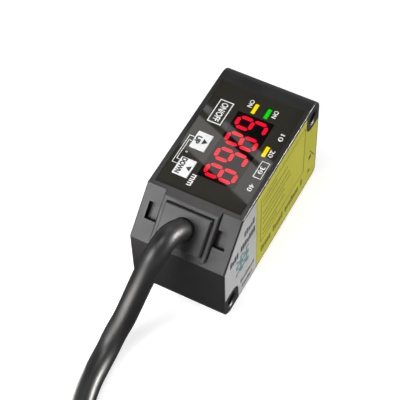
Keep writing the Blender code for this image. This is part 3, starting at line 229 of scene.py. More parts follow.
def grained(name, colour, roughness, grain, depth, mottle=0.08, mottle_size=6.0, spread=0.05,
            **sockets):
    """Surface with a fine grain in its relief, a faint drift of its colour and uneven gloss.

    grain is the grain's width and depth its height, mottle the share that the colour drifts by
    over mottle_size, and spread the drift of the roughness.
    """
    material, tree, coords, shader = new_material(name)
    base = linear(colour)
    drift = add_node(tree, "ShaderNodeTexNoise", {"Scale": 1 / (mottle_size * MM), "Detail": 3.0},
                     {"Vector": coords})
    ramp = add_node(tree, "ShaderNodeValToRGB", links={"Fac": drift.outputs["Fac"]})
    dark, light = ramp.color_ramp.elements
    dark.position, light.position = NOISE_LOW, NOISE_HIGH
    dark.color = [c * (1 - mottle) for c in base[:3]] + [1.0]
    light.color = [min(1.0, c * (1 + mottle)) for c in base[:3]] + [1.0]
    tree.links.new(ramp.outputs["Color"], shader.inputs["Base Color"])
    gloss = add_node(tree, "ShaderNodeMapRange",
                     {"From Min": NOISE_LOW, "From Max": NOISE_HIGH, "To Min": roughness - spread,
                      "To Max": roughness + spread}, {"Value": drift.outputs["Fac"]})
    tree.links.new(gloss.outputs["Result"], shader.inputs["Roughness"])
    texture = add_node(tree, "ShaderNodeTexNoise", {"Scale": 1 / (grain * MM), "Detail": 2.0},
                       {"Vector": coords})
    relief = add_node(tree, "ShaderNodeBump", {"Strength": 1.0, "Distance": depth * MM},
                      {"Height": texture.outputs["Fac"]})
    tree.links.new(relief.outputs["Normal"], shader.inputs["Normal"])
    for socket, value in sockets.items():
        shader.inputs[socket.replace("_", " ")].default_value = value
    return material


def paint(material, *names):
    """Gives CAD nodes their material."""
    for name in names:
        data = NODES[name].data
        if data.materials:
            data.materials[0] = material
        else:
            data.materials.append(material)


def mesh_object(name, bm, material):
    """New object from a bmesh in metres, which is freed."""
    data = bpy.data.meshes.new(name)
    bm.to_mesh(data)
    bm.free()
    data.materials.append(material)
    obj = bpy.data.objects.new(name, data)
    bpy.context.scene.collection.objects.link(obj)
    return obj


def piece(name, bm, material, body="sensor"):
    """New mesh piece from a bmesh in metres, on a body."""
    obj = mesh_object(name, bm, material)
    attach(obj, body)
    return obj


def panel_axes(z):
    """From (u, v, w) on the panel at height z to the frame."""
    return Matrix(((0, 1, 0, 0), (-1, 0, 0, 0), (0, 0, 1, z * MM), (0, 0, 0, 1)))


def side_axes(x):
    """From (y, z, w) on the labelled side at distance x to the frame."""
    return Matrix(((0, 0, 1, x * MM), (1, 0, 0, 0), (0, 1, 0, 0), (0, 0, 0, 1)))


def raise_faces(bm, faces, thickness):
    """Makes a closed plate of flat faces by extruding them along +Z."""
    raised = bmesh.ops.extrude_face_region(bm, geom=faces)
    top = [g for g in raised["geom"] if isinstance(g, bmesh.types.BMVert)]
    bmesh.ops.translate(bm, vec=(0, 0, thickness), verts=top)


def add_plate(bm, corners, thickness=PRINT_T, z=0.0):
    """Flat plate from the corners of its lower face, at height z."""
    face = bm.faces.new([bm.verts.new((u * MM, v * MM, z * MM)) for u, v in corners])
    raise_faces(bm, [face], thickness * MM)


def add_bar(bm, u0, u1, v0, v1):
    """Rectangle of print."""
    add_plate(bm, [(u0, v0), (u1, v0), (u1, v1), (u0, v1)])


def add_box_outline(bm, u0, u1, v0, v1, line):
    """Four bars that make a frame, its line inside the given edges."""
    add_bar(bm, u0, u1, v0, v0 + line)
    add_bar(bm, u0, u1, v1 - line, v1)
    add_bar(bm, u0, u0 + line, v0 + line, v1 - line)
    add_bar(bm, u1 - line, u1, v0 + line, v1 - line)


def add_row(bm, u0, u1, v0, v1, count):
    """Row of plain upright blocks in the place of a word."""
    pitch = (u1 - u0) / (count - ROW_GAP)
    for i in range(count):
        add_bar(bm, u0 + i * pitch, u0 + (i + 1 - ROW_GAP) * pitch, v0, v1)


def add_marks(bm, u0, u1, v0, v1, pattern, line):
    """Row of plain outlined boxes in the place of large words: o low, d tall, and a space."""
    pitch = (u1 - u0) / len(pattern)
    for i, mark in enumerate(pattern):
        if mark != " ":
            top = v1 if mark == "d" else v0 + (v1 - v0) * LOW_MARK_H
            add_box_outline(bm, u0 + i * pitch, u0 + (i + MARK_W) * pitch, v0, top, line)


def settle(bm, matrix):
    """Puts flat print into its place with its faces outwards."""
    bmesh.ops.transform(bm, matrix=matrix, verts=bm.verts)
    bmesh.ops.recalc_face_normals(bm, faces=bm.faces)
    return bm


def merged(*parts):
    """One bmesh from several, which are freed."""
    whole = bmesh.new()
    for part in parts:
        held = bpy.data.meshes.new("held")
        part.to_mesh(held)
        part.free()
        whole.from_mesh(held)
        bpy.data.meshes.remove(held)
    return whole


def lettering(words, matrix, weight=WORD_WEIGHT):
    """Print of words, each (text, u, v, height, width) about its middle. weight thickens the strokes."""
    parts = []
    for text, u, v, height, width in words:
        data = bpy.data.curves.new("words", "FONT")
        data.body = text
        data.extrude = 0.0
        data.offset = weight
        data.resolution_u = 4
        obj = bpy.data.objects.new("words", data)
        bpy.context.scene.collection.objects.link(obj)
        bpy.context.view_layer.update()
        flat = bpy.data.meshes.new_from_object(obj)
        bpy.data.objects.remove(obj)
        bpy.data.curves.remove(data)
        part = bmesh.new()
        part.from_mesh(flat)
        bpy.data.meshes.remove(flat)
        bmesh.ops.remove_doubles(part, verts=part.verts, dist=1e-6)
        xs = [p.co.x for p in part.verts]
        ys = [p.co.y for p in part.verts]
        fit = Matrix.Diagonal((width * MM / (max(xs) - min(xs)), height * MM / (max(ys) - min(ys)), 1, 1))
        centre = Matrix.Translation((-(max(xs) + min(xs)) / 2, -(max(ys) + min(ys)) / 2, 0))
        bmesh.ops.transform(part, matrix=Matrix.Translation((u * MM, v * MM, 0)) @ fit @ centre,
                            verts=part.verts)
        raise_faces(part, list(part.faces), PRINT_T * MM)
        parts.append(part)
    return settle(merged(*parts), matrix)


def smooth_points(route, spacing):
    """Points a set distance apart on a Catmull-Rom curve through the route."""
    pts = [Vector(p) for p in route]
    ends = [2 * pts[0] - pts[1]] + pts + [2 * pts[-1] - pts[-2]]
    fine = []
    for a, b, c, d in zip(ends, ends[1:], ends[2:], ends[3:]):
        for i in range(ROUTE_STEPS):
            t = i / ROUTE_STEPS
            fine.append(0.5 * (2 * b + (c - a) * t + (2 * a - 5 * b + 4 * c - d) * t ** 2
                               + (3 * b - a - 3 * c + d) * t ** 3))
    fine.append(pts[-1])
    total = line_length(fine)
    count = max(2, round(total / spacing))
    wanted = [total * i / count for i in range(1, count)]
    chosen, gone = [fine[0]], 0.0
    for a, b in zip(fine, fine[1:]):
        step = (b - a).length
        while wanted and gone + step >= wanted[0]:
            chosen.append(a.lerp(b, (wanted.pop(0) - gone) / step))
        gone += step
    return chosen + [fine[-1]]


def cord_curve(name, points, diameter, material, steps=6):
    """Round cord along points in millimetres, as a curve of one open spline."""
    curve = bpy.data.curves.new(name, "CURVE")
    curve.dimensions = "3D"
    curve.bevel_depth = diameter / 2 * MM
    curve.bevel_resolution = steps
    curve.use_fill_caps = True
    spline = curve.splines.new("POLY")
    spline.points.add(len(points) - 1)
    for point, co in zip(spline.points, points):
        point.co = (co[0] * MM, co[1] * MM, co[2] * MM, 1.0)
    spline.use_smooth = True
    curve.materials.append(material)
    obj = bpy.data.objects.new(name, curve)
    bpy.context.scene.collection.objects.link(obj)
    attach(obj, "sensor")
    return obj


def line_length(points):
    """Length of the straight runs between points."""
    return sum((Vector(b) - Vector(a)).length for a, b in zip(points, points[1:]))


# The cable's line
def coil_places():
    """Radius and height of each turn's place, back and forth through the layers."""
    places = []
    for index, z in enumerate(LAYERS):
        columns = COLUMNS if index % 2 == 0 else COLUMNS[::-1]
        places += [(r, z) for r in columns]
    return places + [(COLUMNS[1], TOP_Z)]


def eased(t):
    """Share of a sideways move at the share t of its length, slow at both ends."""
    return 2 * t * t if t < 0.5 else 1 - 2 * (1 - t) ** 2


def smooth_step(t):
    """Like eased, with a gentler middle, and still before 0 and after 1."""
    t = min(1.0, max(0.0, t))
    return t * t * (3 - 2 * t)


def coil_line():
    """Axis of the coil and of the free end on top of it, as (angle in degrees, radius, z)."""
    places = coil_places()
    line, angle = [], 0.0
    for index, (r, z) in enumerate(places[:-1]):
        last = index == len(places) - 2
        crossing = math.degrees(CROSSING / r)
        leaving = 2 * crossing if last else crossing
        run = 360 - leaving - (0 if index == 0 else crossing)
        steps = round(math.radians(run) * r / CABLE_STEP)
        line += [(angle - run * i / steps, r, z) for i in range(steps)]
        angle -= run
        r2, z2 = places[index + 1]
        steps = round(math.radians(leaving) * r / CABLE_STEP)
        for i in range(steps):
            t = eased(i / steps)
            if last:
                turn = t * math.pi / 2
                place = (r2 + (r - r2) * math.cos(turn), z + (z2 - z) * math.sin(turn))
            else:
                place = (r + (r2 - r) * t, z + (z2 - z) * t)
            line.append((angle - leaving * i / steps, *place))
        angle -= leaving
    r, z = places[-1]
    end = TAIL_END_DEG
    while end > angle:
        end -= 360
    steps = round(math.radians(angle - end) * r / CABLE_STEP)
    line += [(angle - (angle - end) * i / steps, r, z) for i in range(steps + 1)]
    return line


def coil_point(degrees, r, z):
    """Point of the coil's line in the frame."""
    turn = math.radians(degrees)
    return (COIL_CENTRE[0] + r * math.cos(turn), COIL_CENTRE[1] + r * math.sin(turn), z + COIL_LIFT)


def cable_points():
    """Whole axis of the cable, from inside the bush to the jacket's end."""
    first_turn_z = LAYERS[0] + COIL_LIFT
    rise = first_turn_z - CABLE_ROUTE[-1][2]
    run = [(x, y, z + rise * smooth_step((LIFT_Y - y) / LIFT_RUN))
           for x, y, z in smooth_points(CABLE_ROUTE, CABLE_STEP)]
    lead = [(COIL_CENTRE[0] + COLUMNS[0], y, first_turn_z) for y in LEAD_YS]
    return run + lead + [coil_point(*p) for p in coil_line()]


# Settings
class SensorFinish(bpy.types.PropertyGroup):
    """Colours of the sensor, each as it looks in plain light."""

    def colour(label, hex_colour, note):
        """Colour property with an sRGB hex default."""
        return FloatVectorProperty(name=label, description=note, subtype="COLOR", size=3,
                                   min=0.0, max=1.0, default=rgb(hex_colour))

    lit_digits: colour("Lit digits", "#ff0a2c", "Light of the display's segments")
    power_bar: colour("Power bar", "#00f000", "Light of the power indicator")
    signal_bars: colour("Signal bars", "#ffe800", "Light of the laser and output indicators")
    print_white: colour("White print", "#fbfbfb", "Ink of the panel's print")


class SensorSizes(bpy.types.PropertyGroup):
    """Sizes that a user would change."""

    cable_diameter: FloatProperty(name="Cable diameter", description="Outside of the jacket",
                                  subtype="DISTANCE", unit="LENGTH", default=CABLE_D * MM,
                                  min=3 * MM, max=8 * MM)


def finish():
    """The scene's colours."""
    return bpy.context.scene.sensor_finish


def sizes():
    """The scene's sizes."""
    return bpy.context.scene.sensor_sizes


# Stage
def reflected_card(name, corners, strength):
    """Stage card of four corners in millimetres that shows only in reflections."""
    material = bpy.data.materials.new(name)
    material.use_nodes = True
    tree = material.node_tree
    tree.nodes.clear()
    light = add_node(tree, "ShaderNodeEmission", {"Color": linear("#fffdf9"), "Strength": strength})
    add_node(tree, "ShaderNodeOutputMaterial", links={"Surface": light.outputs["Emission"]})
    bm = bmesh.new()
    bm.faces.new([bm.verts.new(Vector(c) * MM) for c in corners])
    card = mesh_object(name, bm, material)
    card.visible_camera = card.visible_diffuse = card.visible_shadow = False
    card.visible_transmission = card.visible_volume_scatter = False


def seen_in_window(x, y):
    """Point at the strips' height whose reflection the camera sees at (x, y) on the window."""
    mirrored = Vector((CAMERA_PLACE[0], CAMERA_PLACE[1], 2 * WINDOW_TOP - CAMERA_PLACE[2]))
    on_window = Vector((x, y, WINDOW_TOP))
    return mirrored + (on_window - mirrored) * (STRIP_Z - mirrored.z) / (on_window.z - mirrored.z)


def level_card(x0, x1, y0, y1, z):
    """Corners of a level card."""
    return [(x0, y0, z), (x1, y0, z), (x1, y1, z), (x0, y1, z)]


def facing_card(place, target, width, height):
    """Corners of an upright card at a place, turned to face a target."""
    across = (Vector(target) - Vector(place)).to_track_quat("-Z", "Y").to_matrix()
    return [Vector(place) + across @ Vector((w * width / 2, h * height / 2, 0))
            for w, h in ((-1, -1), (1, -1), (1, 1), (-1, 1))]


def softbox(name, place, target, size, power, mirrored):
    """Rectangular area light turned to a target."""
    data = bpy.data.lights.new(name, "AREA")
    data.shape = "RECTANGLE"
    data.size, data.size_y = (s * MM for s in size)
    data.energy = power
    obj = bpy.data.objects.new(name, data)
    obj.visible_glossy = mirrored
    bpy.context.scene.collection.objects.link(obj)
    obj.location = Vector(place) * MM
    obj.rotation_mode = "QUATERNION"
    obj.rotation_quaternion = (Vector(target) - Vector(place)).to_track_quat("-Z", "Y")


def add_camera(scene):
    """Camera at the photograph's place."""
    data = bpy.data.cameras.new("photo_camera")
    data.sensor_fit = "HORIZONTAL"
    data.sensor_width = CAMERA_SENSOR_W
    data.lens = CAMERA_LENS
    camera = bpy.data.objects.new("photo_camera", data)
    scene.collection.objects.link(camera)
    axes = Matrix((CAMERA_RIGHT, CAMERA_UP, CAMERA_BACK)).transposed().to_4x4()
    camera.matrix_world = Matrix.Translation(Vector(CAMERA_PLACE) * MM) @ axes
    scene.camera = camera


def add_floor():
    """Pale floor that keeps the shadow and looks white to the camera and in reflections."""
    bm = bmesh.new()
    bmesh.ops.create_grid(bm, x_segments=8, y_segments=8, size=FLOOR_SIZE * MM)
    material, tree, _, shader = new_material("studio_paper")
    for socket, value in (("Base Color", linear("#c4c4c4")), ("Roughness", 0.9),
                          ("Specular IOR Level", 0.1), ("Emission Color", (1, 1, 1, 1))):
        shader.inputs[socket].default_value = value
    path = add_node(tree, "ShaderNodeLightPath").outputs
    seen = path["Is Camera Ray"]
    for ray in ("Is Glossy Ray", "Is Transmission Ray"):
        seen = add_node(tree, "ShaderNodeMath", links={0: seen, 1: path[ray]},
                        operation="MAXIMUM").outputs[0]
    glow = add_node(tree, "ShaderNodeMath", {1: FLOOR_GLOW}, {0: seen}, operation="MULTIPLY")
    tree.links.new(glow.outputs[0], shader.inputs["Emission Strength"])
    mesh_object("floor", bm, material)


def add_world(scene):
    """White walls with a darker ceiling above them, all white to the camera."""
    world = bpy.data.worlds.new("studio")
    world.use_nodes = True
    tree = world.node_tree
    tree.nodes.clear()
    path = add_node(tree, "ShaderNodeLightPath")
    up = add_node(tree, "ShaderNodeSeparateXYZ",
                  links={0: add_node(tree, "ShaderNodeTexCoord").outputs["Generated"]})
    walls = add_node(tree, "ShaderNodeMapRange",
                     {"From Min": 0.15, "From Max": 0.55, "To Min": 0.9, "To Max": 0.05},
                     {"Value": up.outputs["Z"]})
    strength = add_node(tree, "ShaderNodeMath", links={0: walls.outputs[0],
                                                       1: path.outputs["Is Camera Ray"]},
                        operation="MAXIMUM")
    light = add_node(tree, "ShaderNodeBackground", links={"Strength": strength.outputs[0]})
    add_node(tree, "ShaderNodeOutputWorld", links={"Surface": light.outputs[0]})
    scene.world = world


class SENSOR_OT_stage(bpy.types.Operator):
    """Camera, pale floor and soft studio light"""

    bl_idname = "sensor.stage"
    bl_label = "Stage"

    def execute(self, context):
        add_camera(context.scene)
        add_floor()
        add_world(context.scene)
        for name, box in SOFTBOXES.items():
            softbox(name, *box)
        for name, corners in STRIPS.items():
            reflected_card(name, [seen_in_window(*corner) for corner in corners], STRIP_STRENGTH)
        # Short strip whose reflection lies on the frame between the window and the cable
        reflected_card("near_strip_light", level_card(*NEAR_STRIP), NEAR_STRIP_STRENGTH)
        # Far strip behind the labelled side, for the thin bright edges
        reflected_card("rim_strip_light", facing_card(*RIM_STRIP), RIM_STRIP_STRENGTH)
        # Dark card on the floor, and a bright folded one beside the cable, for its light streak
        reflected_card("dark_floor_card", level_card(*DARK_CARD), DARK_CARD_STRENGTH)
        reflected_card("cable_low_card", level_card(*CABLE_CARD), CABLE_CARD_STRENGTH)
        x0, x1, y0, _, z0 = CABLE_CARD
        reflected_card("cable_card", [(x0, y0, z0), (x1, y0, z0), (x1, y0, CABLE_CARD_TOP),
                                      (x0, y0, CABLE_CARD_TOP)], CABLE_CARD_STRENGTH)
        context.scene.view_settings.view_transform = "Standard"
        return {"FINISHED"}


# Cable
class SENSOR_OT_cable(bpy.types.Operator):
    """Cable with its coil and free end, the two ties and the five cores"""

    bl_idname = "sensor.cable"
    bl_label = "Cable"

    def execute(self, context):
        # PVC jacket, extruded: satin black with a fine matt bloom and soft broad highlights
        jacket = grained("extruded_pvc_jacket", "#161516", 0.42, grain=0.5, depth=0.004, mottle=0.12,
                         mottle_size=9.0, IOR=1.53)
        points = cable_points()
        diameter = sizes().cable_diameter
        cable = cord_curve("sensor_cable", points, diameter / MM, jacket)
        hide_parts("cable", "cable_coil", "cable_tail")
        with_pieces = self.cores() + self.ties()
        return {"FINISHED"}

    def cores(self):
        """Insulated cores that fan out of the jacket, with bare strands at their ends."""
        made = []
        # Bare copper strands, twisted: warm metal with a fine broken glint
        strands = grained("bare_copper_strands", "#c08a5c", 0.3, grain=0.16, depth=0.02,
                          mottle=0.15, mottle_size=1.0, Metallic=1.0)
        steps = len(CORES) - 1
        fan = (len(COLUMNS) * CABLE_D - 2 * CORE_D) / steps
        drop = (CABLE_D - CORE_D) / 2
        start = math.radians(TAIL_END_DEG)
        tail_r = COLUMNS[1]

        def at(side, rise, spread, along):
            """Point on a core, along millimetres from the jacket's end."""
            turn = start - along / tail_r
            radius = tail_r + side + (spread - side) * smooth_step(along / (CORE_INSULATION + CORE_BARE))
            fall = smooth_step(along / CORE_FALL)
            z = TOP_Z + rise * (1 - fall) - drop * fall + COIL_LIFT
            return (COIL_CENTRE[0] + radius * math.cos(turn), COIL_CENTRE[1] + radius * math.sin(turn), z)

        for index, (colour, (shade, degrees, extra)) in enumerate(CORES.items()):
            # Core insulation, extruded PVC: smooth and a little glossy
            skin = grained(f"core_insulation_{colour}", shade, 0.32, grain=0.4, depth=0.002,
                           mottle=0.06, mottle_size=4.0)
            place = math.radians(degrees)
            side, rise = CORE_BUNDLE_R * math.cos(place), CORE_BUNDLE_R * math.sin(place)
            spread = fan * (index - steps / 2)
            cut = CORE_INSULATION + extra
            line = [at(side, rise, spread, -CORE_HIDDEN + (cut + CORE_HIDDEN) * i / CORE_STEPS)
                    for i in range(CORE_STEPS + 1)]
            core = cord_curve(f"lead_{colour}", line, CORE_D, skin, 4)
            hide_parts(f"core_{colour}")
            line = [at(side, rise, spread, cut - CORE_HIDDEN + (CORE_BARE + CORE_HIDDEN) * i / STRAND_STEPS)
                    for i in range(STRAND_STEPS + 1)]
            made += [core, cord_curve(f"strands_{colour}", line, STRAND_D, strands, 3)]
        return made

    def ties(self):
        """Two ties round the coil and the turn on top of it."""
        # Nylon 66, moulded: black, fine sheen
        nylon = grained("moulded_nylon_tie", "#1b1b1c", 0.38, grain=0.6, depth=0.004)
        made = []
        half = CABLE_D / 2 + TIE_SLACK
        circles = [(COLUMNS[0], LAYERS[0]), (COLUMNS[0], LAYERS[-1]), (COLUMNS[-1], LAYERS[0]),
                   (COLUMNS[-1], LAYERS[-1]), (COLUMNS[1], TOP_Z)]
        for number, degrees in enumerate(TIE_DEGREES, 1):
            # Band: the hull of the turns' sections, open at both sides
            bm = bmesh.new()
            for r, z in circles:
                for w in (-TIE_WIDTH / 2, TIE_WIDTH / 2):
                    for i in range(TIE_ARC_STEPS):
                        turn = 2 * math.pi * i / TIE_ARC_STEPS
                        bm.verts.new((r + half * math.cos(turn), w, z + COIL_LIFT + half * math.sin(turn)))
            hull = bmesh.ops.convex_hull(bm, input=bm.verts)
            loose = {v for v in hull["geom_interior"] + hull["geom_unused"]
                     if isinstance(v, bmesh.types.BMVert)}
            bmesh.ops.delete(bm, geom=list(loose), context="VERTS")
            caps = [f for f in bm.faces if abs(f.normal.y) > 0.9]
            bmesh.ops.delete(bm, geom=caps, context="FACES")
            bmesh.ops.recalc_face_normals(bm, faces=bm.faces)
            centre = Vector((COLUMNS[1], 0, (LAYERS[0] + LAYERS[-1]) / 2))
            if sum((f.calc_center_median() - centre).dot(f.normal) for f in bm.faces) < 0:
                bmesh.ops.reverse_faces(bm, faces=bm.faces)
            bmesh.ops.solidify(bm, geom=bm.faces[:], thickness=-TIE_THICKNESS)
            for size, out, height, bevel, segments in TIE_BLOCKS:
                block = bmesh.ops.create_cube(bm, size=1.0)["verts"]
                bmesh.ops.scale(bm, vec=size, verts=block)
                bmesh.ops.translate(bm, vec=(COLUMNS[0] + half + out, 0, height + COIL_LIFT), verts=block)
                edges = {e for v in block for e in v.link_edges}
                bmesh.ops.bevel(bm, geom=list(edges), offset=bevel, segments=segments, profile=0.5,
                                affect="EDGES", material=-1)
            place = (Matrix.Translation((COIL_CENTRE[0] * MM, COIL_CENTRE[1] * MM, 0))
                     @ Matrix.Rotation(math.radians(degrees), 4, "Z") @ Matrix.Diagonal((MM, MM, MM, 1)))
            bmesh.ops.transform(bm, matrix=place, verts=bm.verts)
            made.append(piece(f"coil_tie_{number}", bm, nylon))
        return made


# Case
class SENSOR_OT_case(bpy.types.Operator):
    """Finishes of the case, its cover, the bush and the labels' film"""

    bl_idname = "sensor.case"
    bl_label = "Case"

    def execute(self, context):
        # Glass-filled PBT, moulded in a spark-eroded tool: dark grey, fine even grain, dull gloss
        paint(grained("moulded_pbt_case", "#201e1f", 0.45, grain=0.34, depth=0.012), "housing")
        paint(grained("moulded_pbt_cover", "#262425", 0.45, grain=0.34, depth=0.012), "top_cover")
        # Thermoplastic elastomer, moulded: a little softer sheen than the case
        paint(grained("moulded_elastomer_bush", "#262425", 0.44, grain=0.4, depth=0.008), "cable_bush")
        # Polyester film with a matt silver ink: even grey with a faint brushed sparkle
        paint(grained("silver_polyester_film", "#b5b5b5", 0.42, grain=0.25, depth=0.002, mottle=0.03,
                      mottle_size=8.0, Metallic=0.15), "label_silver")
        # Vinyl film, printed yellow: flat colour under a satin varnish
        paint(grained("yellow_vinyl_film", "#b3af34", 0.4, grain=0.5, depth=0.003, mottle=0.05,
                      mottle_size=10.0), "label_yellow")
        return {"FINISHED"}


def punched_plate(x_range, y_range, z_low, thickness, openings):
    """Flat plate in millimetres with rectangular openings, each (x0, x1, y0, y1)."""
    bm = bmesh.new()
    grid = bmesh.ops.create_grid(bm, x_segments=1, y_segments=1, size=0.5)["verts"]
    bmesh.ops.scale(bm, vec=(x_range[1] - x_range[0], y_range[1] - y_range[0], 1), verts=grid)
    bmesh.ops.translate(bm, vec=(sum(x_range) / 2, sum(y_range) / 2, z_low), verts=grid)
    for axis in (0, 1):
        for cut in sorted({o[axis * 2 + i] for o in openings for i in (0, 1)}):
            place, normal = [0, 0, 0], [0, 0, 0]
            place[axis], normal[axis] = cut, 1
            bmesh.ops.bisect_plane(bm, geom=bm.verts[:] + bm.edges[:] + bm.faces[:], dist=1e-5,
                                   plane_co=place, plane_no=normal)
    gone = []
    for face in bm.faces:
        c = face.calc_center_median()
        if any(o[0] < c.x < o[1] and o[2] < c.y < o[3] for o in openings):
            gone.append(face)
    bmesh.ops.delete(bm, geom=gone, context="FACES")
    raise_faces(bm, bm.faces[:], thickness)
    bmesh.ops.scale(bm, vec=(MM, MM, MM), verts=bm.verts)
    bmesh.ops.recalc_face_normals(bm, faces=bm.faces)
    return bm


def centred(x, y, width, length, grow=0.0):
    """Edges x0, x1, y0, y1 of a rectangle about its middle."""
    return (x - width / 2 - grow, x + width / 2 + grow, y - length / 2 - grow, y + length / 2 + grow)


class SENSOR_OT_window(bpy.types.Operator):
    """Smoked window and the printed overlay film on it"""

    bl_idname = "sensor.window"
    bl_label = "Window"

    def execute(self, context):
        # Acrylic sheet, cast and smoked: sharp reflections over a dim view of what lies below
        material, tree, coords, shader = new_material("smoked_acrylic_window")
        for socket, value in (("Base Color", linear("#7a7874")), ("IOR", 1.49),
                              ("Transmission Weight", 1.0), ("Specular IOR Level", 0.5)):
            shader.inputs[socket].default_value = value
        film = add_node(tree, "ShaderNodeTexNoise", {"Scale": 1 / (8 * MM), "Detail": 2.0},
                        {"Vector": coords})
        haze = add_node(tree, "ShaderNodeMapRange", {"To Min": 0.01, "To Max": 0.03},
                        {"Value": film.outputs["Fac"]})
        tree.links.new(haze.outputs["Result"], shader.inputs["Roughness"])
        paint(material, "display_window")
        # Polyester overlay film, printed black on its back: opaque, a warm near-black, polished
        mask = grained("polished_overlay_film", "#35332d", 0.02, grain=3.0, depth=0.00002, mottle=0.06,
                       mottle_size=7.0, spread=0.01)
        openings = [centred(*DISPLAY, *DISPLAY_SIZE)]
        openings += [centred(*place, *BAR_SIZE) for place in BARS.values()]
        openings += [centred(KEY_X, y, KEY_W, length, KEY_FIT) for y, length in KEYS.values()]
        piece("window_overlay", punched_plate(*WINDOW, OVERLAY_Z, OVERLAY_T, openings), mask)
        return {"FINISHED"}


# Display
def lit(name, colour, strength, gloss=0.5):
    """Translucent resin lit from behind, its light a little uneven."""
    material, tree, coords, shader = new_material(name)
    shader.inputs["Base Color"].default_value = (*[c * 0.4 for c in colour], 1.0)
    shader.inputs["Roughness"].default_value = gloss
    shader.inputs["Emission Color"].default_value = (*colour, 1.0)
    cloud = add_node(tree, "ShaderNodeTexNoise", {"Scale": 1 / (0.9 * MM), "Detail": 1.0},
                     {"Vector": coords})
    glow = add_node(tree, "ShaderNodeMapRange",
                    {"From Min": NOISE_LOW, "From Max": NOISE_HIGH, "To Min": strength * 0.9,
                     "To Max": strength}, {"Value": cloud.outputs["Fac"]})
    tree.links.new(glow.outputs["Result"], shader.inputs["Emission Strength"])
    return material


def segment_plate(bm, x, y, along_x, length):
    """Pointed plate of one segment, on the display's film."""
    u, v = length / 2, SEGMENT_W / 2
    outline = [(-u, 0), (-u + v, -v), (u - v, -v), (u, 0), (u - v, v), (-u + v, v)]
    corners = [(x + a, y + b) if along_x else (x - b, y + a) for a, b in outline]
    add_plate(bm, corners, SEGMENT_T, OVERLAY_TOP)


def digit_segments(figure, y):
    """Places of a figure's lit segments, with the top of the figure towards +X."""
    reach_x, reach_y = (DIGIT_H - SEGMENT_W) / 2, (DIGIT_W - SEGMENT_W) / 2
    x = DISPLAY[0]
    places = {
        "top": (x + reach_x, y, False), "middle": (x, y, False), "bottom": (x - reach_x, y, False),
        "upper_left": (x + reach_x / 2, y + reach_y, True),
        "upper_right": (x + reach_x / 2, y - reach_y, True),
        "lower_left": (x - reach_x / 2, y + reach_y, True),
        "lower_right": (x - reach_x / 2, y - reach_y, True),
    }
    return [places[name] for name in places if name not in UNLIT[figure]]


class SENSOR_OT_display(bpy.types.Operator):
    """Display module, its lit segments and the indicator bars"""

    bl_idname = "sensor.display"
    bl_label = "Display"

    def execute(self, context):
        # ABS shell, moulded black: matt, so that only the segments show
        paint(grained("moulded_abs_display_shell", "#0b0b0b", 0.6, grain=0.3, depth=0.004),
              "display_shell")
        # Epoxy, cast and unlit: dull grey-red
        paint(grained("cast_epoxy_unlit", "#1c1414", 0.45, grain=0.3, depth=0.002), "display_resin")
        # Ceramic of the lamp chips, fired: matt cream
        paint(grained("fired_ceramic_chip", "#d9d3c0", 0.5, grain=0.2, depth=0.004), "lamp_power",
              "lamp_laser", "lamp_output")
        # Smoked strip of the overlay film before the display: black unless lit from behind
        smoked = grained("smoked_overlay_film", "#0c0c0b", 0.02, grain=3.0, depth=0.00002, mottle=0.1,
                         mottle_size=5.0, spread=0.01)
        x0, x1, y0, y1 = centred(*DISPLAY, *DISPLAY_SIZE)
        piece("display_film", punched_plate((x0, x1), (y0, y1), OVERLAY_Z, OVERLAY_T, ()), smoked)
        bm = bmesh.new()
        long_x = (DIGIT_H - SEGMENT_W) / 2 - SEGMENT_GAP - SEGMENT_INSET
        long_y = DIGIT_W - SEGMENT_W - SEGMENT_GAP - SEGMENT_INSET
        for index, figure in enumerate(READING):
            y = DISPLAY[1] + DIGIT_PITCH * ((len(READING) - 1) / 2 - index)
            for x, cy, along_x in digit_segments(figure, y):
                segment_plate(bm, x, cy, along_x, long_x if along_x else long_y)
        bmesh.ops.recalc_face_normals(bm, faces=bm.faces)
        # Light of the segments through the film: clear red, as polished as the film round it
        piece("lit_segments", bm, lit("lit_red_epoxy", finish().lit_digits, 1.0, gloss=0.03))
        # Epoxy light bars, cast and diffusing: bright green and yellow
        paint(lit("lit_green_epoxy", finish().power_bar, 5.2), "light_bar_power")
        paint(lit("lit_yellow_epoxy", finish().signal_bars, 6.0), "light_bar_laser",
              "light_bar_output")
        return {"FINISHED"}


# Keys and print
def triangle(bm, u, v, half_w, height, up):
    """Triangle about the middle of its height, with its tip up or down."""
    tip = height / 2 if up else -height / 2
    add_plate(bm, [(u - half_w, v - tip), (u + half_w, v - tip), (u, v + tip)])


class SENSOR_OT_keys(bpy.types.Operator):
    """Key caps with their marks"""

    bl_idname = "sensor.keys"
    bl_label = "Keys"

    def execute(self, context):
        # Silicone-coated ABS caps: white and even, satin
        paint(grained("moulded_white_cap", "#fdfdfd", 0.35, grain=0.4, depth=0.003, mottle=0.02),
              "key_up", "key_down")
        # Smoked cap beside them: as dark and glossy as the window
        paint(grained("moulded_smoked_cap", "#32302a", 0.12, grain=0.8, depth=0.001, mottle=0.05),
              "key_teach")
        white = ink("white_epoxy_ink", finish().print_white)
        black = ink("black_epoxy_ink", rgb("#2a2a2a"))
        place = panel_axes(KEY_TOP)
        line = bmesh.new()
        add_box_outline(line, *TEACH_FRAME, TEACH_FRAME_LINE)
        words = lettering([TEACH_WORD], place)
        piece("print_teach_key", merged(settle(line, place), words), white, body="teach_key")
        for name, (u, tip_up, width) in KEY_MARKS.items():
            bm = bmesh.new()
            triangle(bm, u, *KEY_TRIANGLE, tip_up)
            words = lettering([(name.upper(), u, *KEY_WORD, width)], place, KEY_WORD_WEIGHT)
            piece(f"print_{name}_key", merged(settle(bm, place), words), black, body=f"{name}_key")
        return {"FINISHED"}


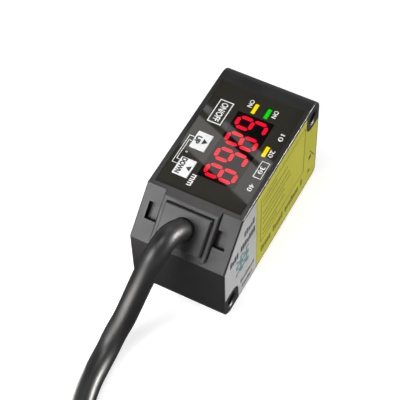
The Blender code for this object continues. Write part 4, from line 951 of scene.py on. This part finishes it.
def ink(name, colour):
    """Two-part epoxy ink, screen printed: opaque, satin, with soft pinholes."""
    material, tree, coords, shader = new_material(name)
    shader.inputs["Roughness"].default_value = 0.45
    specks = add_node(tree, "ShaderNodeTexNoise", {"Scale": 1 / (0.35 * MM), "Detail": 2.0},
                      {"Vector": coords})
    ramp = add_node(tree, "ShaderNodeValToRGB", links={"Fac": specks.outputs["Fac"]})
    pinhole, full = ramp.color_ramp.elements
    pinhole.position, full.position = 0.25, 0.5
    pinhole.color = [c * 0.88 for c in colour[:3]] + [1.0]
    full.color = [*colour[:3], 1.0]
    tree.links.new(ramp.outputs["Color"], shader.inputs["Base Color"])
    return material


class SENSOR_OT_panel_print(bpy.types.Operator):
    """White print on the window"""

    bl_idname = "sensor.panel_print"
    bl_label = "Panel print"

    def execute(self, context):
        bm = bmesh.new()
        add_box_outline(bm, *BOXED_WORD, BOXED_WORD_LINE)
        for u0, u1, foot in BRACKETS:
            inner = foot + BRACKET_LINE
            add_bar(bm, u0, u1, foot, inner)
            add_bar(bm, u0, u0 + BRACKET_LINE, inner, BRACKET_TOP)
            add_bar(bm, u1 - BRACKET_LINE, u1, inner, BRACKET_TOP)
        place = panel_axes(OVERLAY_TOP)
        piece("print_panel", merged(settle(bm, place), lettering(PANEL_WORDS, place)),
              ink("white_screen_print", finish().print_white))
        return {"FINISHED"}


class SENSOR_OT_label_print(bpy.types.Operator):
    """Plain fields, outlines and rows of dashes on the two labels"""

    bl_idname = "sensor.label_print"
    bl_label = "Label print"

    def execute(self, context):
        faint = bmesh.new()
        add_box_outline(faint, *YELLOW_FRAME, YELLOW_FRAME_LINE)
        half = YELLOW_ROW_H / 2
        for v, length, count in YELLOW_ROWS:
            add_row(faint, YELLOW_ROW_U, YELLOW_ROW_U + length, v - half, v + half, count)
        bold = bmesh.new()
        for mark in YELLOW_MARKS:
            add_marks(bold, *mark)
        add_plate(bold, YELLOW_SLASH)
        for dot in YELLOW_DOTS:
            add_bar(bold, *dot)
        grey = bmesh.new()
        for mark in SILVER_MARKS:
            add_marks(grey, *mark)
        teal = bmesh.new()
        cell = SQUARE_SIZE / SQUARE_CELLS
        for row in range(SQUARE_CELLS):
            for column in range(SQUARE_CELLS):
                if (row * 5 + column * 3 + row * column) % 4 in (0, 1):
                    u, v = SQUARE_AT[0] + column * cell, SQUARE_AT[1] + row * cell
                    add_bar(teal, u, u + cell * SQUARE_FILL, v, v + cell * SQUARE_FILL)
        place = side_axes(SIDE_X)
        for name, bm, ink_name, colour, slot in (
                ("print_yellow_label_small", faint, "olive_label_ink", "#77753f", "yellow_film"),
                ("print_yellow_label_bold", bold, "grey_label_ink", "#47462f", "yellow_film"),
                ("print_silver_label", grey, "black_label_ink", "#38383c", "silver_film"),
                ("print_silver_square", teal, "teal_label_ink", "#5f8587", "silver_film")):
            piece(name, settle(bm, place), ink(ink_name, rgb(colour)))
        return {"FINISHED"}


class SENSOR_OT_inner_parts(bpy.types.Operator):
    """Finishes of the boards, the optics and the switches inside, and of the optical pane"""

    bl_idname = "sensor.inner_parts"
    bl_label = "Inner parts"

    def execute(self, context):
        # Solder mask over woven glass laminate: green, glossy, faint weave
        paint(grained("solder_mask_on_laminate", "#1f5b34", 0.3, grain=0.6, depth=0.01), "display_board",
              "main_board", "sensor_board")
        # Epoxy package: matt black
        paint(grained("moulded_epoxy_package", "#222122", 0.55, grain=0.2, depth=0.006),
              "controller_chip", "image_sensor", "board_connector", "plunger_teach",
              "plunger_up", "plunger_down")
        # Die-cast and blackened carrier: matt, faintly granular
        paint(grained("black_anodised_aluminium", "#262527", 0.45, grain=0.25, depth=0.008, Metallic=0.6),
              "optical_head", "laser_barrel")
        # Bright steel: turned and drawn parts
        paint(grained("nickel_plated_steel", "#b8b9bc", 0.28, grain=0.2, depth=0.003, Metallic=1.0),
              "head_screw_left", "head_screw_right", "switch_teach", "switch_up", "switch_down",
              "filter_capacitor")
        # Gold-plated steel can of the laser diode: warm and bright
        paint(grained("gilt_steel_can", "#c9a55a", 0.25, grain=0.2, depth=0.002, Metallic=1.0),
              "laser_diode")
        # Glass with an evaporated coat on its front: a sharp mirror with a faint haze
        paint(grained("front_coated_mirror", "#e2e4e6", 0.05, grain=2.0, depth=0.0002, Metallic=1.0,
                      spread=0.02), "fold_mirror")
        # Optical glass: clear, polished
        paint(grained("polished_optical_glass", "#f2f6f6", 0.03, grain=4.0, depth=0.0002, mottle=0.01,
                      spread=0.01, IOR=1.52, Transmission_Weight=1.0), "collimator_lens", "receiver_lens")
        # Acrylic filter pane: deep red, near-black, polished
        paint(grained("polished_filter_acrylic", "#3a0f14", 0.06, grain=3.0, depth=0.0005, mottle=0.04,
                      spread=0.02, IOR=1.49, Transmission_Weight=0.5), "front_pane")
        return {"FINISHED"}


class SENSOR_PT_panel(bpy.types.Panel):
    """Lists the sensor's operators in the 3D view's sidebar"""

    bl_label = "Sensor"
    bl_space_type = "VIEW_3D"
    bl_region_type = "UI"
    bl_category = "Sensor"

    def draw(self, context):
        for group in (context.scene.sensor_finish, context.scene.sensor_sizes):
            for name in group.bl_rna.properties.keys():
                if name not in ("rna_type", "name"):
                    self.layout.prop(group, name)
        for operator in OPERATORS:
            self.layout.operator(operator.bl_idname)


OPERATORS = (SENSOR_OT_stage, SENSOR_OT_cable, SENSOR_OT_case, SENSOR_OT_window, SENSOR_OT_display,
             SENSOR_OT_keys, SENSOR_OT_panel_print, SENSOR_OT_label_print, SENSOR_OT_inner_parts)


def register():
    for cls in (SensorFinish, SensorSizes, *OPERATORS, SENSOR_PT_panel):
        bpy.utils.register_class(cls)
    bpy.types.Scene.sensor_finish = PointerProperty(type=SensorFinish)
    bpy.types.Scene.sensor_sizes = PointerProperty(type=SensorSizes)


def unregister():
    del bpy.types.Scene.sensor_sizes
    del bpy.types.Scene.sensor_finish
    for cls in (SENSOR_PT_panel, *reversed(OPERATORS), SensorSizes, SensorFinish):
        bpy.utils.unregister_class(cls)


def main():
    register()
    bpy.ops.sensor.stage()
    bpy.ops.sensor.cable()
    bpy.ops.sensor.case()
    bpy.ops.sensor.window()
    bpy.ops.sensor.display()
    bpy.ops.sensor.keys()
    bpy.ops.sensor.panel_print()
    bpy.ops.sensor.label_print()
    bpy.ops.sensor.inner_parts()


if __name__ == "__main__":
    main()
